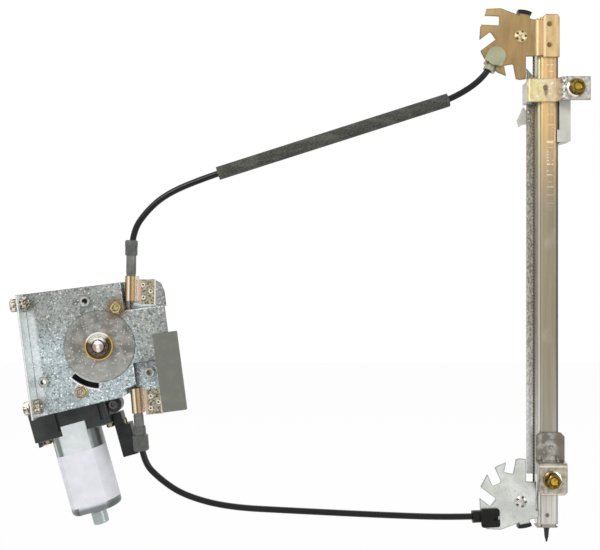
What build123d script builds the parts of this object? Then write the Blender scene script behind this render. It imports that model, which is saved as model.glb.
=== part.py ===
from build123d import *
import math
import os

os.makedirs("parts", exist_ok=True)

# Cable-operated window regulator, all sizes in millimetres.
# X runs across the door, Y runs from the cabin side to the outer skin, Z is up.
# The origin is the lower rail bolt's axis where it meets the front face of its tab.

# ---- Fits and clearances ----
RUNNING_FIT = 0.05  # radial, turning parts on their pins and shafts
SLIDE_GAP = 0.3  # carrier to rail
CABLE_GAP = 0.3  # cable to the grooves and bores it runs through
END_PLAY = 0.1  # axial, pulleys on their rivets

# ---- Cable and conduit ----
CABLE_R = 0.8
CABLE_Y = 14.8
CONDUIT_R = 2.5
SLEEVE_R = 5.25
# Each ferrule's axis as (X, Z): its free end, then its conduit end.
UPPER_TUBE = ((-326.9, 137.4), (-326.4, 179.0))
LOWER_TUBE = ((-322.8, 69.0), (-319.6, 33.0))
CLIP_LENGTH = 19.5
FOOT_DROP = 2.6  # how much lower a clip's foot sits than its saddle
FERRULE_R = 3.85
# Each route as (X, Z) points at the cable's depth.
UPPER_ROUTE = (
    (-326.5, 170.0),
    (-326.26, 190.5),
    (-313.8, 208.8),
    (-297.0, 222.5),
    (-267.0, 234.65),
    (-238.0, 243.8),
    (-100.0, 288.1),
    (-72.5, 296.8),
    (-47.8, 313.7),
    (-42.1, 326.5),
)
LOWER_ROUTE = (
    (-319.4, 31.0),
    (-317.6, 11.5),
    (-303.2, -3.2),
    (-284.5, -15.5),
    (-251.0, -24.6),
    (-200.0, -27.3),
    (-135.0, -30.5),
    (-75.0, -32.7),
    (-45.4, -31.4),
)

# ---- Guide rail, its ends set by the pulleys' heights ----
UPPER_PULLEY_Z = 343.8
LOWER_PULLEY_Z = -19.0
RAIL_SHEET = 1.5
RAIL_BEND = 1.6
WEB_FRONT = 10.0
WEB_HALF = 6.0
SHOULDER_FRONT = 12.0
RAIL_LEFT = -8.0
RAIL_RIGHT = 8.4
RAIL_BACK = 22.0
FLANGE_TIP = -14.6
FLANGE_BOTTOM = 0.5
FLANGE_TOP = UPPER_PULLEY_Z - 21.4
FLANGE_TOP_DROP = 8.8
RAIL_BOTTOM = LOWER_PULLEY_Z - 18.3
RAIL_TOP = UPPER_PULLEY_Z + 15.1
LIP_LEFT = -8.6
LIP_RIGHT = 7.0
LIP_BACK = 20.5
BUFFER_AT = (0.1, 16.8)
BUFFER_TOP = RAIL_BOTTOM + 19.6

# ---- Pulleys and the fan plates that carry them ----
PULLEY_X = -21.9
PULLEY_Z = {"upper": UPPER_PULLEY_Z, "lower": LOWER_PULLEY_Z}
PITCH_R = 11.4
RIM_R = 13.1
PULLEY_WIDTH = 5.8
RIVET_R = 3.0
RIVET_HEAD_R = 4.8
FAN_SHEET = 1.8
FAN_FRONT = 9.6
TAB_FRONT = WEB_FRONT - FAN_SHEET
SLOT_WIDTH = 7.3
# Each slot: its direction, its centre line's distance from the rivet, where its closed end lies.
SLOTS = ((-2.5, 11.4, -17.3), (37.0, 13.5, -16.7), (66.0, 11.4, -20.0), (101.0, 13.5, -20.0))
CONDUIT_ANGLE = {"upper": SLOTS[2][0], "lower": -SLOTS[0][0]}
CONDUIT_STOP = 24.0
GUARD_ANGLE = 79.0
GUARD_R = 21.5
GUARD_SPREAD = 30.0
COLLAR_R = 4.8

# ---- Fixing brackets, rail bolts ----
BRACKET_SHEET = 2.0
TAB_DEPTH = 8.0
UPPER_BOLT = (18.3, UPPER_PULLEY_Z - 42.0)
LOWER_BOLT = (0.0, 0.0)
UPPER_CLIP_Z = (UPPER_BOLT[1] - 9.3, UPPER_BOLT[1] + 8.8)
M6_R = 3.0
M6_FLANGE_R = 7.1
M6_FLATS = 10.0
M6_HEAD = 6.6
WELD_NUT = 4.5
BOLT_REACH = 7.8

# ---- Carrier ----
CARRIER_FOOT = UPPER_PULLEY_Z - 81.8
CARRIER_HEIGHT = 47.0
CARRIER_TOP = CARRIER_FOOT + CARRIER_HEIGHT
CARRIER_SHOULDER = CARRIER_TOP - 3.0
BAR_RIGHT = 17.8
TRAVEL = CARRIER_FOOT - BUFFER_TOP - 0.7
POCKET_Z = (CARRIER_TOP - 16.0, CARRIER_TOP)
NIPPLE_R = 1.75
NIPPLE_LENGTH = 6.0
INSERT_R = 4.5
INSERT_BORE = 2.5
INSERT_LENGTH = 10.0
INSERT_AT = (1.0, CARRIER_FOOT + 23.0)

# ---- Base plate, in its own frame turned about the drum's axis ----
DRUM_AT = (-350.4, 102.2)
PLATE_TURN = 7.5
PLATE_SHEET = 1.5
PLATE_FRONT = 10.0
RECESS_FRONT = 19.0
EMBOSS_R = 27.7
EMBOSS_FRONT = 9.0
FLANGE_HEIGHT = 17.0
PLATE_LEFT = -54.8
PLATE_SIDE = (-48.8, 47.8)  # the turned side's lower and upper end
PLATE_RIGHT = 54.4
UPPER_RECESS = (22.8, 25.6)  # inner edge in X, lower edge in Z
LOWER_RECESS = (24.5, -17.0)  # inner edge in X, upper edge in Z
CLINCH_AT = ((-6.1, 36.2, PLATE_FRONT), (-45.9, -21.8, PLATE_FRONT), (34.8, -26.0, RECESS_FRONT))
STUD_OUT = (5.1087, 10.6564)  # each stud's way out from the raised disc's edge, past its own nut
STUD_ANGLE = (58.587, -118.8370)
STUD_AT = tuple(
    (
        (EMBOSS_R + out) * math.cos(math.radians(angle)),
        (EMBOSS_R + out) * math.sin(math.radians(angle)),
    )
    for out, angle in zip(STUD_OUT, STUD_ANGLE)
)
FLANGE_BOLT_Z = (PLATE_SIDE[1] - 7.8, PLATE_SIDE[0] + 9.0)
FLANGE_BOLT_Y = 1.5
M5_MINOR_R = 2.1
M5_R = 2.5
CLINCH_SHANK_R = 3.3

# ---- Drum and gear drive, in a frame turned about the drum's axis ----
GEAR_TURN = 15.5
DRUM_PITCH_R = 22.0
DRUM_FLANGE_R = 24.5
DRUM_FRONT = 12.4
DRUM_BACK = 22.6
GROOVES_Y = (14.8, 16.8, 18.8, 20.8)
SHAFT_R = 5.4
BUSH_R = 7.5
MODULE = 1.25
TEETH = 58
WORM_PITCH_R = 5.55
WHEEL_MID_Y = 34.0
WHEEL_WIDTH = 7.0
BACKLASH = 0.2  # per flank
ARMATURE_SHAFT_R = 3.0

# ---- Motor ----
CAN_WIDTH = 40.0
CAN_DEPTH = 31.0
CAN_TOP = -61.0
CAN_BOTTOM = -126.0
CAN_SHEET = 1.2
BOSS_R = 6.25
BOSS_END = -138.0

# ---- Gear housing ----
CAVITY_GAP = 0.7  # wheel to its case
HOUSING_WALL = 1.8
HOUSING_FRONT = 26.0
HOUSING_BACK = 42.5
COVER_FRONT = 24.5
TUNNEL_R = 9.3
TUNNEL_TOP = 28.0
BUSH_OUTER_R = 5.0
BUSH_LENGTH = 8.0
BUSH_Z = (13.0, -36.0, -136.0)
BRUSH_ROOM = (-46.5, CAN_TOP)
BLOCK_X = (-72.6, -9.5)
BLOCK_Y = (19.8, 48.2)
CAN_SCREW_X = (-66.2, -13.9)
LUG_ANGLES = (45, 135, 315)
LUG_R = 4.0
LUG_SCREW_R = 1.5
PILLAR_R = 4.0

WHEEL_PITCH_R = MODULE * TEETH / 2
WORM_X = -(WHEEL_PITCH_R + WORM_PITCH_R)
LEAD = math.pi * MODULE
LEAD_ANGLE = math.degrees(math.atan(LEAD / (2 * math.pi * WORM_PITCH_R)))
WORM_R = WORM_PITCH_R + MODULE
WORM_ROOT_R = WORM_PITCH_R - 1.16 * MODULE
WHEEL_R = WHEEL_PITCH_R + MODULE
WHEEL_ROOT_R = WHEEL_PITCH_R - 1.16 * MODULE
CAVITY_R = WHEEL_R + CAVITY_GAP
HOUSING_R = CAVITY_R + HOUSING_WALL
LUG_DISTANCE = HOUSING_R + 2.4
EAR_AT = (-5.0, -HOUSING_R - 7.8)

PLATE = Location((DRUM_AT[0], 0, DRUM_AT[1]), (0, -PLATE_TURN, 0))
GEAR = Location((DRUM_AT[0], 0, DRUM_AT[1]), (0, -GEAR_TURN, 0))
MOTOR = Pos(WORM_X, WHEEL_MID_Y, 0)


# ---- Shape helpers ----
def outline(points, radius=0):
    """Closed outline with one corner radius, or one per corner."""
    if radius:
        return make_face(FilletPolyline(*points, radius=radius, close=True))
    return make_face(Polyline(*points, close=True))


def rectangle(x0, x1, z0, z1):
    """Rectangle between two corners."""
    return Pos((x0 + x1) / 2, (z0 + z1) / 2) * Rectangle(x1 - x0, z1 - z0)


def deep(face, front, back):
    """Solid of an XZ face between two depths."""
    return extrude(Plane.XZ.offset(-back) * face, back - front)


def disc(x, z, radius, front, back):
    """Cylinder along Y between two depths."""
    return deep(Pos(x, z) * Circle(radius), front, back)


def block(x0, x1, y0, y1, z0, z1):
    """Box between two corners."""
    return Pos((x0 + x1) / 2, (y0 + y1) / 2, (z0 + z1) / 2) * Box(x1 - x0, y1 - y0, z1 - z0)


def hexagon(flats):
    """Hexagon by its width across flats."""
    return RegularPolygon(radius=flats / 2, side_count=6, major_radius=False)


def strip(points, sheet, radius):
    """Section of a folded sheet along its middle line."""
    return trace(FilletPolyline(*points, radius=radius), sheet)


def turned(points, centre=(0, 0, 0)):
    """Solid turned about the Z axis from (radius, height) points, then laid along Y."""
    body = revolve(Plane.XZ * outline(points), Axis.Z)
    return Pos(*centre) * Rot(X=-90) * body


def post(points, centre=(0, 0, 0)):
    """Solid turned about an upright axis from (radius, height) points."""
    return Pos(*centre) * revolve(Plane.XZ * outline(points), Axis.Z)


def upright(face, z0, z1):
    """Solid of an XY face between two heights."""
    return Pos(0, 0, z0) * extrude(face, z1 - z0)


def hollow_post(radius, bore, z0, z1):
    """Upright tube between two heights."""
    return Pos(0, 0, z0) * extrude(Circle(radius) - Circle(bore), z1 - z0)


def conduit_line(side):
    """Foot on the pitch circle and direction of the conduit's line at one pulley."""
    flip = 1 if side == "upper" else -1
    angle = math.radians(CONDUIT_ANGLE[side])
    along = (math.cos(angle), math.sin(angle))
    across = (-along[1] * flip, along[0] * flip)
    foot = (PULLEY_X + PITCH_R * across[0], PULLEY_Z[side] + PITCH_R * across[1])
    return foot, along


def save(name, shape, count=1):
    """Write one node after checking how many separate solids it holds."""
    solids = shape.solids()
    print(name, len(solids), "solids", round(sum(s.volume for s in solids)), "mm3")
    if len(solids) != count:
        raise ValueError(f"{name} holds {len(solids)} solids, not {count}")
    whole = Compound(children=list(solids)) if len(solids) > 1 else solids[0]
    whole.label = name
    export_step(whole, f"parts/{name}.step")


# ---- Rail ----
def guide_rail():
    """Rolled channel: raised web, shoulders, side walls, one outward flange, folded foot."""
    half = RAIL_SHEET / 2
    section = strip(
        [
            (FLANGE_TIP, RAIL_BACK - half),
            (RAIL_LEFT + half, RAIL_BACK - half),
            (RAIL_LEFT + half, SHOULDER_FRONT + half),
            (-WEB_HALF + half, SHOULDER_FRONT + half),
            (-WEB_HALF + half, WEB_FRONT + half),
            (WEB_HALF - half, WEB_FRONT + half),
            (WEB_HALF - half, SHOULDER_FRONT + half),
            (RAIL_RIGHT - half, SHOULDER_FRONT + half),
            (RAIL_RIGHT - half, RAIL_BACK),
        ],
        RAIL_SHEET,
        [1.0, 1.2, 0.8, 0.8, 0.8, 0.8, 1.2],
    )
    rail = Pos(0, 0, RAIL_BOTTOM) * extrude(section, RAIL_TOP - RAIL_BOTTOM)
    outside = RAIL_LEFT - 0.01
    rail -= block(FLANGE_TIP - 1, outside, WEB_FRONT, RAIL_BACK + 1, RAIL_BOTTOM - 1, FLANGE_BOTTOM)
    above = outline(
        [
            (FLANGE_TIP - 1, FLANGE_TOP),
            (outside, FLANGE_TOP - FLANGE_TOP_DROP),
            (outside, RAIL_TOP + 1),
            (FLANGE_TIP - 1, RAIL_TOP + 1),
        ]
    )
    rail -= deep(above, WEB_FRONT, RAIL_BACK + 1)
    foot = strip(
        [
            (WEB_FRONT + half, RAIL_BOTTOM + 3),
            (WEB_FRONT + half, RAIL_BOTTOM - 2),
            (LIP_BACK, RAIL_BOTTOM - 2),
        ],
        RAIL_SHEET,
        RAIL_BEND,
    )
    lip = Pos(LIP_LEFT) * extrude(Plane.YZ * foot, LIP_RIGHT - LIP_LEFT)
    bends = block(LIP_LEFT, -WEB_HALF + 1, 0, SHOULDER_FRONT, RAIL_BOTTOM - 1, RAIL_BOTTOM + 4)
    bends += block(WEB_HALF - 1, LIP_RIGHT, 0, SHOULDER_FRONT, RAIL_BOTTOM - 1, RAIL_BOTTOM + 4)
    lip -= bends
    return rail + lip - Pos(BUFFER_AT[0], BUFFER_AT[1], RAIL_BOTTOM - 2) * Cylinder(2.6, 6)


def end_stop_buffer():
    """Rubber buffer: head in the channel, neck through the foot, pull tail below it."""
    seat = RAIL_BOTTOM - 2 + RAIL_SHEET / 2
    under = seat - RAIL_SHEET
    return post(
        [
            (0, BUFFER_TOP),
            (3.4, BUFFER_TOP),
            (4.4, BUFFER_TOP - 1.5),
            (4.4, seat),
            (2.6, seat),
            (2.6, under),
            (3.4, under),
            (2.0, under - 2.2),
            (1.6, under - 7.8),
            (0.5, under - 12.2),
            (0, under - 12.2),
        ],
        (*BUFFER_AT, 0),
    )


# ---- Pulley stations, drawn for the upper end and mirrored for the lower ----
def at_station(shape, side):
    """Place a shape drawn about the rivet, turned over for the lower end."""
    if side == "lower":
        shape = mirror(shape, Plane.XY)
    return Pos(PULLEY_X, 0, PULLEY_Z[side]) * shape


def slot_line(angle, distance):
    """Frame on a slot's centre line: X along it toward the pulley."""
    turn = math.radians(angle)
    foot = (-distance * math.sin(turn), distance * math.cos(turn))
    return Pos(*foot) * Rot(Z=angle)


def fan_outline():
    """Fan with four conduit slots, the strip to the rail, the tab and the guard's ear."""
    tab = (-4.9 - PULLEY_X, 8.0 - PULLEY_X)
    face = outline(
        [
            (tab[0], 12.9),
            (9.5, 13.3),
            (0.6, 15.9),
            (-15.7, 21.9),
            (-26.7, 21.4),
            (-27.6, 17.4),
            (-31.5, 7.0),
            (-32.0, -1.3),
            (-31.0, -12.0),
            (-26.1, -21.0),
            (-18.3, -27.8),
            (-10.5, -31.1),
            (-1.0, -33.8),
            (4.0, -33.2),
            (4.1, -15.6),
            (tab[0], -15.2),
        ]
    )
    face += outline(
        [
            (tab[0] - 0.1, -16.5),
            (tab[1], -16.5),
            (tab[1], 14.8),
            (tab[1] - 1.8, 17.0),
            (tab[0] + 2.0, 17.0),
            (tab[0] - 0.1, 15.0),
        ]
    )
    face += Rot(Z=GUARD_ANGLE) * rectangle(10, 17.6, -4.2, 4.2)
    for angle, distance, end in SLOTS:
        slot = Pos(end - 20, 0) * RectangleRounded(40, SLOT_WIDTH, 0.9)
        face -= slot_line(angle, distance) * slot
    return face


def pulley_bracket(side):
    """Pressed fan plate, set back from its tab, with two clinch dimples on the tab."""
    middle = FAN_FRONT + FAN_SHEET / 2
    tab_middle = TAB_FRONT + FAN_SHEET / 2
    fold = strip(
        [
            (-40, middle),
            (-9.2 - PULLEY_X, middle),
            (-6.0 - PULLEY_X, tab_middle),
            (9 - PULLEY_X, tab_middle),
        ],
        FAN_SHEET,
        1.2,
    )
    plate = Pos(0, 0, -40) * extrude(fold, 70)
    plate &= deep(fan_outline(), TAB_FRONT - 1, FAN_FRONT + FAN_SHEET + 1)
    plate -= disc(0, 0, RIVET_R, TAB_FRONT, FAN_FRONT + FAN_SHEET + 1)
    for height in (9.4, -6.9):
        plate -= turned([(0, -0.1), (2.1, -0.1), (0.9, 1.1), (0, 1.1)], (0.2 - PULLEY_X, TAB_FRONT, height))
    if side == "lower":
        wall = RAIL_LEFT - PULLEY_X
        plate -= block(wall - FAN_SHEET, 60, 0, 30, -60, 60)
        plate += block(wall - FAN_SHEET, wall, FAN_FRONT, RAIL_BACK - 2, 7.0, 12.8)
    return at_station(plate, side)


def pulley_rivet(side):
    """Axle rivet: staked front head, shank through plate, washer and pulley, rear head."""
    pulley_back = CABLE_Y + PULLEY_WIDTH / 2 + END_PLAY
    front = FAN_FRONT - 1.6
    rivet = turned(
        [
            (0, front),
            (3.2, front),
            (RIVET_HEAD_R, FAN_FRONT - 0.6),
            (RIVET_HEAD_R, FAN_FRONT),
            (RIVET_R, FAN_FRONT),
            (RIVET_R, pulley_back),
            (RIVET_HEAD_R, pulley_back),
            (RIVET_HEAD_R, pulley_back + 0.8),
            (3.6, pulley_back + 1.4),
            (0, pulley_back + 1.4),
        ]
    )
    rivet -= turned([(0, front - 1), (1.9, front - 1), (0, front + 0.9)])
    for k in range(5):
        rivet -= Rot(Y=72 * k) * Pos(3.5, front, 0) * Sphere(0.9)
    return at_station(rivet, side)


def pulley_washer(side):
    """Spacer between fan plate and pulley."""
    ring = Circle(RIVET_HEAD_R + 1.2) - Circle(RIVET_R)
    front = FAN_FRONT + FAN_SHEET
    return at_station(deep(ring, front, CABLE_Y - PULLEY_WIDTH / 2 - END_PLAY), side)


def pulley(side):
    """Grooved nylon pulley with recessed cheeks."""
    half = PULLEY_WIDTH / 2
    floor = PITCH_R - CABLE_R - CABLE_GAP
    body = turned(
        [
            (RIVET_R + RUNNING_FIT, -half),
            (6.2, -half),
            (6.2, -half + 0.8),
            (9.0, -half + 0.8),
            (9.0, -half),
            (RIM_R, -half),
            (RIM_R, -half + 0.7),
            (floor, -0.7),
            (floor, 0.7),
            (RIM_R, half - 0.7),
            (RIM_R, half),
            (9.0, half),
            (9.0, half - 0.8),
            (6.2, half - 0.8),
            (6.2, half),
            (RIVET_R + RUNNING_FIT, half),
        ],
        (0, CABLE_Y, 0),
    )
    return at_station(body, side)


def cable_guard(side):
    """Moulded keeper behind the fan plate that holds the cable in the pulley's groove."""
    ring = Circle(GUARD_R) - Circle(RIM_R + 0.5)
    rise = 30 * math.tan(math.radians(GUARD_SPREAD / 2))
    wedge = Rot(Z=GUARD_ANGLE) * outline([(0, 0), (30, -rise), (30, rise)])
    keeper = deep(ring & wedge, FAN_FRONT + FAN_SHEET, CABLE_Y + PULLEY_WIDTH / 2)
    return at_station(keeper, side)


def conduit_fitting(side):
    """Moulded conduit end that clips into a fan slot: flanges either side, collar outside."""
    foot, along = conduit_line(side)
    front = FAN_FRONT - 2.2
    back = FAN_FRONT + FAN_SHEET
    wide = 7.2
    if side == "upper":
        head = Pos(-22.2, 0) * Circle(wide) + Pos(-25.4, 0) * RectangleRounded(6.0, 2 * wide, 2.0)
    else:
        head = Pos(-24.4, 0) * RectangleRounded(14.5, 2 * wide, 2.0)
    body = deep(head, front, FAN_FRONT)
    closed = SLOTS[2][2] if side == "upper" else SLOTS[0][2]
    neck = rectangle(-28.1, closed - 0.6, -SLOT_WIDTH / 2 + 0.1, SLOT_WIDTH / 2 - 0.1)
    body += deep(neck, FAN_FRONT, back)
    body += deep(Pos(-23.4, 0) * RectangleRounded(11.4, 12.0, 1.5), back, CABLE_Y + 4.4)
    mouth = -33.4 if side == "upper" else -37.4
    body += Pos(mouth, CABLE_Y, 0) * Rot(Y=90) * extrude(Circle(COLLAR_R), -26.4 - mouth)
    if side == "lower":
        body -= deep(Pos(-19, 0) * Rectangle(6.4, 3.7), front - 1, FAN_FRONT)
    body -= Pos(-40, CABLE_Y, 0) * Rot(Y=90) * extrude(Circle(CONDUIT_R + 0.1), 40 - CONDUIT_STOP)
    body -= Pos(-34, CABLE_Y, 0) * Rot(Y=90) * extrude(Circle(CABLE_R + 0.1), 30)
    turn = math.degrees(math.atan2(along[1], along[0]))
    return Pos(foot[0], 0, foot[1]) * Rot(Y=-turn) * body


def rail_cable():
    """Taut cable between the conduit ends, over both pulleys and down beside the rail."""
    upper, up = conduit_line("upper")
    lower, low = conduit_line("lower")
    cable_x = PULLEY_X + PITCH_R
    start = (upper[0] - CONDUIT_STOP * up[0], upper[1] - CONDUIT_STOP * up[1])
    end = (lower[0] - CONDUIT_STOP * low[0], lower[1] - CONDUIT_STOP * low[1])
    over = (PULLEY_X + PITCH_R * math.cos(0.8), PULLEY_Z["upper"] + PITCH_R * math.sin(0.8))
    under = (PULLEY_X + PITCH_R * math.cos(0.8), PULLEY_Z["lower"] - PITCH_R * math.sin(0.8))
    path = Line(start, upper)
    path += ThreePointArc(upper, over, (cable_x, PULLEY_Z["upper"]))
    path += Line((cable_x, PULLEY_Z["upper"]), (cable_x, PULLEY_Z["lower"]))
    path += ThreePointArc((cable_x, PULLEY_Z["lower"]), under, lower)
    path += Line(lower, end)
    path = Plane.XZ.offset(-CABLE_Y) * path
    return sweep(Plane(origin=path @ 0, z_dir=path % 0) * Circle(CABLE_R), path=path)


# ---- Fixing brackets and rail bolts ----
def rail_dimple(x, z, front):
    """Pressed joint seen from the front."""
    return turned([(0, -0.1), (2.1, -0.1), (0.9, 1.1), (0, 1.1)], (x, front, z))


def upper_fixing_bracket():
    """Clip across the rail's front with a joggled tab for the upper bolt."""
    half = BRACKET_SHEET / 2
    clip = TAB_DEPTH + half
    section = strip(
        [(-15.9, clip + 2.6), (-15.9, clip), (5.2, clip), (9.4, half), (29.6, half)],
        BRACKET_SHEET,
        [1.4, 1.6, 1.6],
    )
    bracket = Pos(0, 0, UPPER_CLIP_Z[0]) * extrude(section, UPPER_CLIP_Z[1] - UPPER_CLIP_Z[0])
    bracket -= disc(*UPPER_BOLT, M6_R + 0.3, -1, BRACKET_SHEET + 1)
    return bracket - rail_dimple(-3.0, 303.6, TAB_DEPTH)


def lower_fixing_bracket():
    """Plate on the rail's web, stepped forward to the lower bolt, with two pressed gussets."""
    half = BRACKET_SHEET / 2
    section = strip(
        [(TAB_DEPTH + half, 35.2), (TAB_DEPTH + half, 12.8), (half, 11.4), (half, -11.8)],
        BRACKET_SHEET,
        [1.6, 1.6],
    )
    bracket = Pos(-11) * extrude(Plane.YZ * section, 24)
    face = outline(
        [
            (-10.0, -9.6),
            (-7.8, -11.8),
            (9.6, -11.8),
            (11.8, -9.6),
            (11.8, 32.0),
            (8.8, 35.2),
            (-7.2, 35.2),
            (-10.2, 32.2),
        ],
        [1.0, 1.0, 1.0, 1.0, 1.5, 1.5, 1.5, 1.5],
    )
    bracket &= deep(face, -1, TAB_DEPTH + BRACKET_SHEET + 1)
    for x0, x1 in ((-7.6, -3.2), (3.4, 8.6)):
        rib = outline([(0.5, 9.5), (TAB_DEPTH + 0.5, 17.5), (TAB_DEPTH + 0.5, 11.5), (2.0, 9.5)])
        ends = ((x0 + x1) / 2 - 0.9, (x0 + x1) / 2 + 0.9)
        bracket += Pos(ends[0]) * extrude(Plane.YZ * rib, ends[1] - ends[0])
    bracket -= disc(*LOWER_BOLT, M6_R + 0.3, -1, BRACKET_SHEET + 1)
    return bracket - rail_dimple(1.6, 23.2, TAB_DEPTH)


def flange_bolt(x, z):
    """M6 hexagon flange bolt with an indented head."""
    bolt = turned(
        [
            (0, -2.0),
            (5.2, -2.0),
            (M6_FLANGE_R, -0.9),
            (M6_FLANGE_R, 0),
            (M6_R, 0),
            (M6_R, BOLT_REACH - 0.8),
            (M6_R - 0.8, BOLT_REACH),
            (0, BOLT_REACH),
        ]
    )
    head = deep(hexagon(M6_FLATS), -M6_HEAD, -1.5)
    head &= turned([(0, -M6_HEAD), (4.6, -M6_HEAD), (6.0, -M6_HEAD + 1.0), (6.0, -1), (0, -1)])
    bolt += head
    bolt -= turned([(0, -M6_HEAD - 1), (3.2, -M6_HEAD - 1), (2.6, -M6_HEAD + 1.4), (0, -M6_HEAD + 1.4)])
    return Pos(x, 0, z) * bolt


def rail_fixing_bolts():
    """Both rail bolts."""
    return flange_bolt(*UPPER_BOLT) + flange_bolt(*LOWER_BOLT)


def rail_weld_nuts():
    """Hexagon weld nuts behind the bolt tabs."""
    nuts = []
    for at in (UPPER_BOLT, LOWER_BOLT):
        ring = hexagon(M6_FLATS) - Circle(M6_R)
        nuts.append(deep(Pos(*at) * ring, BRACKET_SHEET, BRACKET_SHEET + WELD_NUT))
    return nuts[0] + nuts[1]


# ---- Carrier ----
def carrier():
    """Moulded slider: cable pocket round the flange, back plate, side bar, lip and tongue."""
    back = RAIL_BACK + SLIDE_GAP
    pocket_right = RAIL_LEFT - SLIDE_GAP
    wrap = FLANGE_TIP - SLIDE_GAP
    left = wrap - 1.7
    plate = outline(
        [
            (-12.8, CARRIER_FOOT),
            (BAR_RIGHT, CARRIER_FOOT + 0.4),
            (BAR_RIGHT, CARRIER_SHOULDER),
            (8.0, CARRIER_SHOULDER),
            (8.0, CARRIER_TOP),
            (left, CARRIER_TOP),
            (left, POCKET_Z[0]),
            (-12.8, POCKET_Z[0]),
        ]
    )
    body = deep(plate, back, 26.0)
    body += block(left, pocket_right, 12.2, 20.5 - SLIDE_GAP, *POCKET_Z)
    body += block(left, wrap, 12.2, back + 1, *POCKET_Z)
    tip = outline(
        [(-12.0, 16.0), (-17.6, 15.2), (-19.6, 13.2), (-21.4, 18.6), (-16.8, 29.4), (-12.0, 22.6)],
        0.6,
    )
    body += Pos(0, 0, CARRIER_FOOT) * deep(tip, back + 0.2, 26.0)
    bar = outline(
        [
            (9.0, CARRIER_FOOT - 1.0),
            (14.0, CARRIER_FOOT - 0.6),
            (BAR_RIGHT, CARRIER_FOOT + 0.4),
            (BAR_RIGHT, CARRIER_SHOULDER - 1.6),
            (BAR_RIGHT - 1.6, CARRIER_SHOULDER),
            (9.0, CARRIER_SHOULDER),
        ]
    )
    body += deep(bar, SHOULDER_FRONT, 26.0)
    body += block(6.7, 10.0, 10.4, SHOULDER_FRONT - SLIDE_GAP, CARRIER_FOOT - 0.4, CARRIER_FOOT + 9.0)
    body += block(9.0, 14.0, 10.4, SHOULDER_FRONT, CARRIER_FOOT - 0.4, CARRIER_FOOT + 9.0)
    body += block(-3.6, 3.8, WEB_FRONT + RAIL_SHEET + 2.7, back + 1, CARRIER_FOOT, CARRIER_TOP - 9.0)
    boss = INSERT_AT
    body += disc(*boss, INSERT_R + 3.0, 25.0, 31.0)
    body -= disc(*boss, INSERT_R, 31.0 - INSERT_LENGTH, 32.0)
    for x in (BAR_RIGHT - 6.8, BAR_RIGHT - 3.6):
        body -= block(x, x + 2.0, 20.0, 27.0, CARRIER_FOOT + 4.0, CARRIER_SHOULDER - 5.0)
    body -= Pos(PULLEY_X + PITCH_R, CABLE_Y, POCKET_Z[0] - 1) * extrude(Circle(CABLE_R + CABLE_GAP), 20)
    return body - nipple_space()


def nipple_space():
    """Room for both cable nipples, open below so that the lower one shows."""
    height = CARRIER_TOP - 1.5 - POCKET_Z[0] + 1
    return Pos(PULLEY_X + PITCH_R, CABLE_Y, POCKET_Z[0] - 1) * extrude(Circle(NIPPLE_R), height)


def cable_nipples():
    """Cast nipples that anchor the two cable ends in the carrier."""
    body = hollow_post(NIPPLE_R, CABLE_R + CABLE_GAP, CARRIER_TOP - 1.5 - NIPPLE_LENGTH, CARRIER_TOP - 1.5)
    low = hollow_post(NIPPLE_R, CABLE_R + CABLE_GAP, POCKET_Z[0] - 2.4, POCKET_Z[0] + NIPPLE_LENGTH)
    return Pos(PULLEY_X + PITCH_R, CABLE_Y) * (body + low)


def glass_insert():
    """Threaded insert for the glass clamp's screw."""
    ring = Circle(INSERT_R) - Circle(INSERT_BORE)
    return deep(Pos(*INSERT_AT) * ring, 31.0 - INSERT_LENGTH, 31.0)


# ---- Conduits ----
def bend_radii(points):
    """Bend radius at each corner, from the shorter neighbouring run and the half turn."""
    radii = []
    for before, at, after in zip(points, points[1:], points[2:]):
        run_in = math.dist(before, at)
        run_out = math.dist(at, after)
        heading_in = math.atan2(at[1] - before[1], at[0] - before[0])
        heading_out = math.atan2(after[1] - at[1], after[0] - at[0])
        half_turn = abs(heading_out - heading_in) / 2
        radii.append(0.45 * min(run_in, run_out) / math.tan(half_turn))
    return radii


def route(points):
    """Conduit centre line: straight runs joined by tangent arcs."""
    return Plane.XZ.offset(-CABLE_Y) * FilletPolyline(*points, radius=bend_radii(points))


def conduit(points):
    """Solid conduit along one route."""
    path = route(points)
    return sweep(Plane(origin=path @ 0, z_dir=path % 0) * Circle(CONDUIT_R), path=path)


def measured_conduit(points):
    """Conduit whose volume is compared with its section times its length."""
    tube = conduit(points)
    length = route(points).length
    print("bend radii", [round(r) for r in bend_radii(points)], "length", round(length, 1))
    print("swept", round(tube.volume), "expected", round(math.pi * CONDUIT_R**2 * length))
    return tube


def foam_sleeve():
    """Anti-rattle foam sleeve on the straight stretch of the upper conduit."""
    start, end = UPPER_ROUTE[4], UPPER_ROUTE[7]
    length = math.dist(start, end)
    angle = math.degrees(math.atan2(end[1] - start[1], end[0] - start[0]))
    along = Pos(start[0], CABLE_Y, start[1]) * Rot(Y=90 - angle)
    return along * upright(Circle(SLEEVE_R), 9.0, length - 5.5) - conduit(UPPER_ROUTE)


def tube_frame(tube):
    """Frame at a ferrule's free end: Z runs out along it, X to the door's front, Y stays."""
    (x0, z0), (x1, z1) = tube
    lean = math.degrees(math.atan2(x1 - x0, z1 - z0))
    return Pos(x0, CABLE_Y, z0) * Rot(Y=lean)


def conduit_ferrule(tube):
    """Metal conduit end: stepped tube held by the clip."""
    length = math.dist(*tube)
    body = post(
        [
            (CABLE_R + CABLE_GAP, 0),
            (3.4, 0),
            (FERRULE_R - 0.2, 0.6),
            (FERRULE_R - 0.2, CLIP_LENGTH + 2),
            (FERRULE_R, CLIP_LENGTH + 2),
            (FERRULE_R, length),
            (CONDUIT_R + 0.05, length),
            (CONDUIT_R + 0.05, length - 10.0),
            (CABLE_R + CABLE_GAP, length - 10.0),
        ]
    )
    return tube_frame(tube) * body


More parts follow.
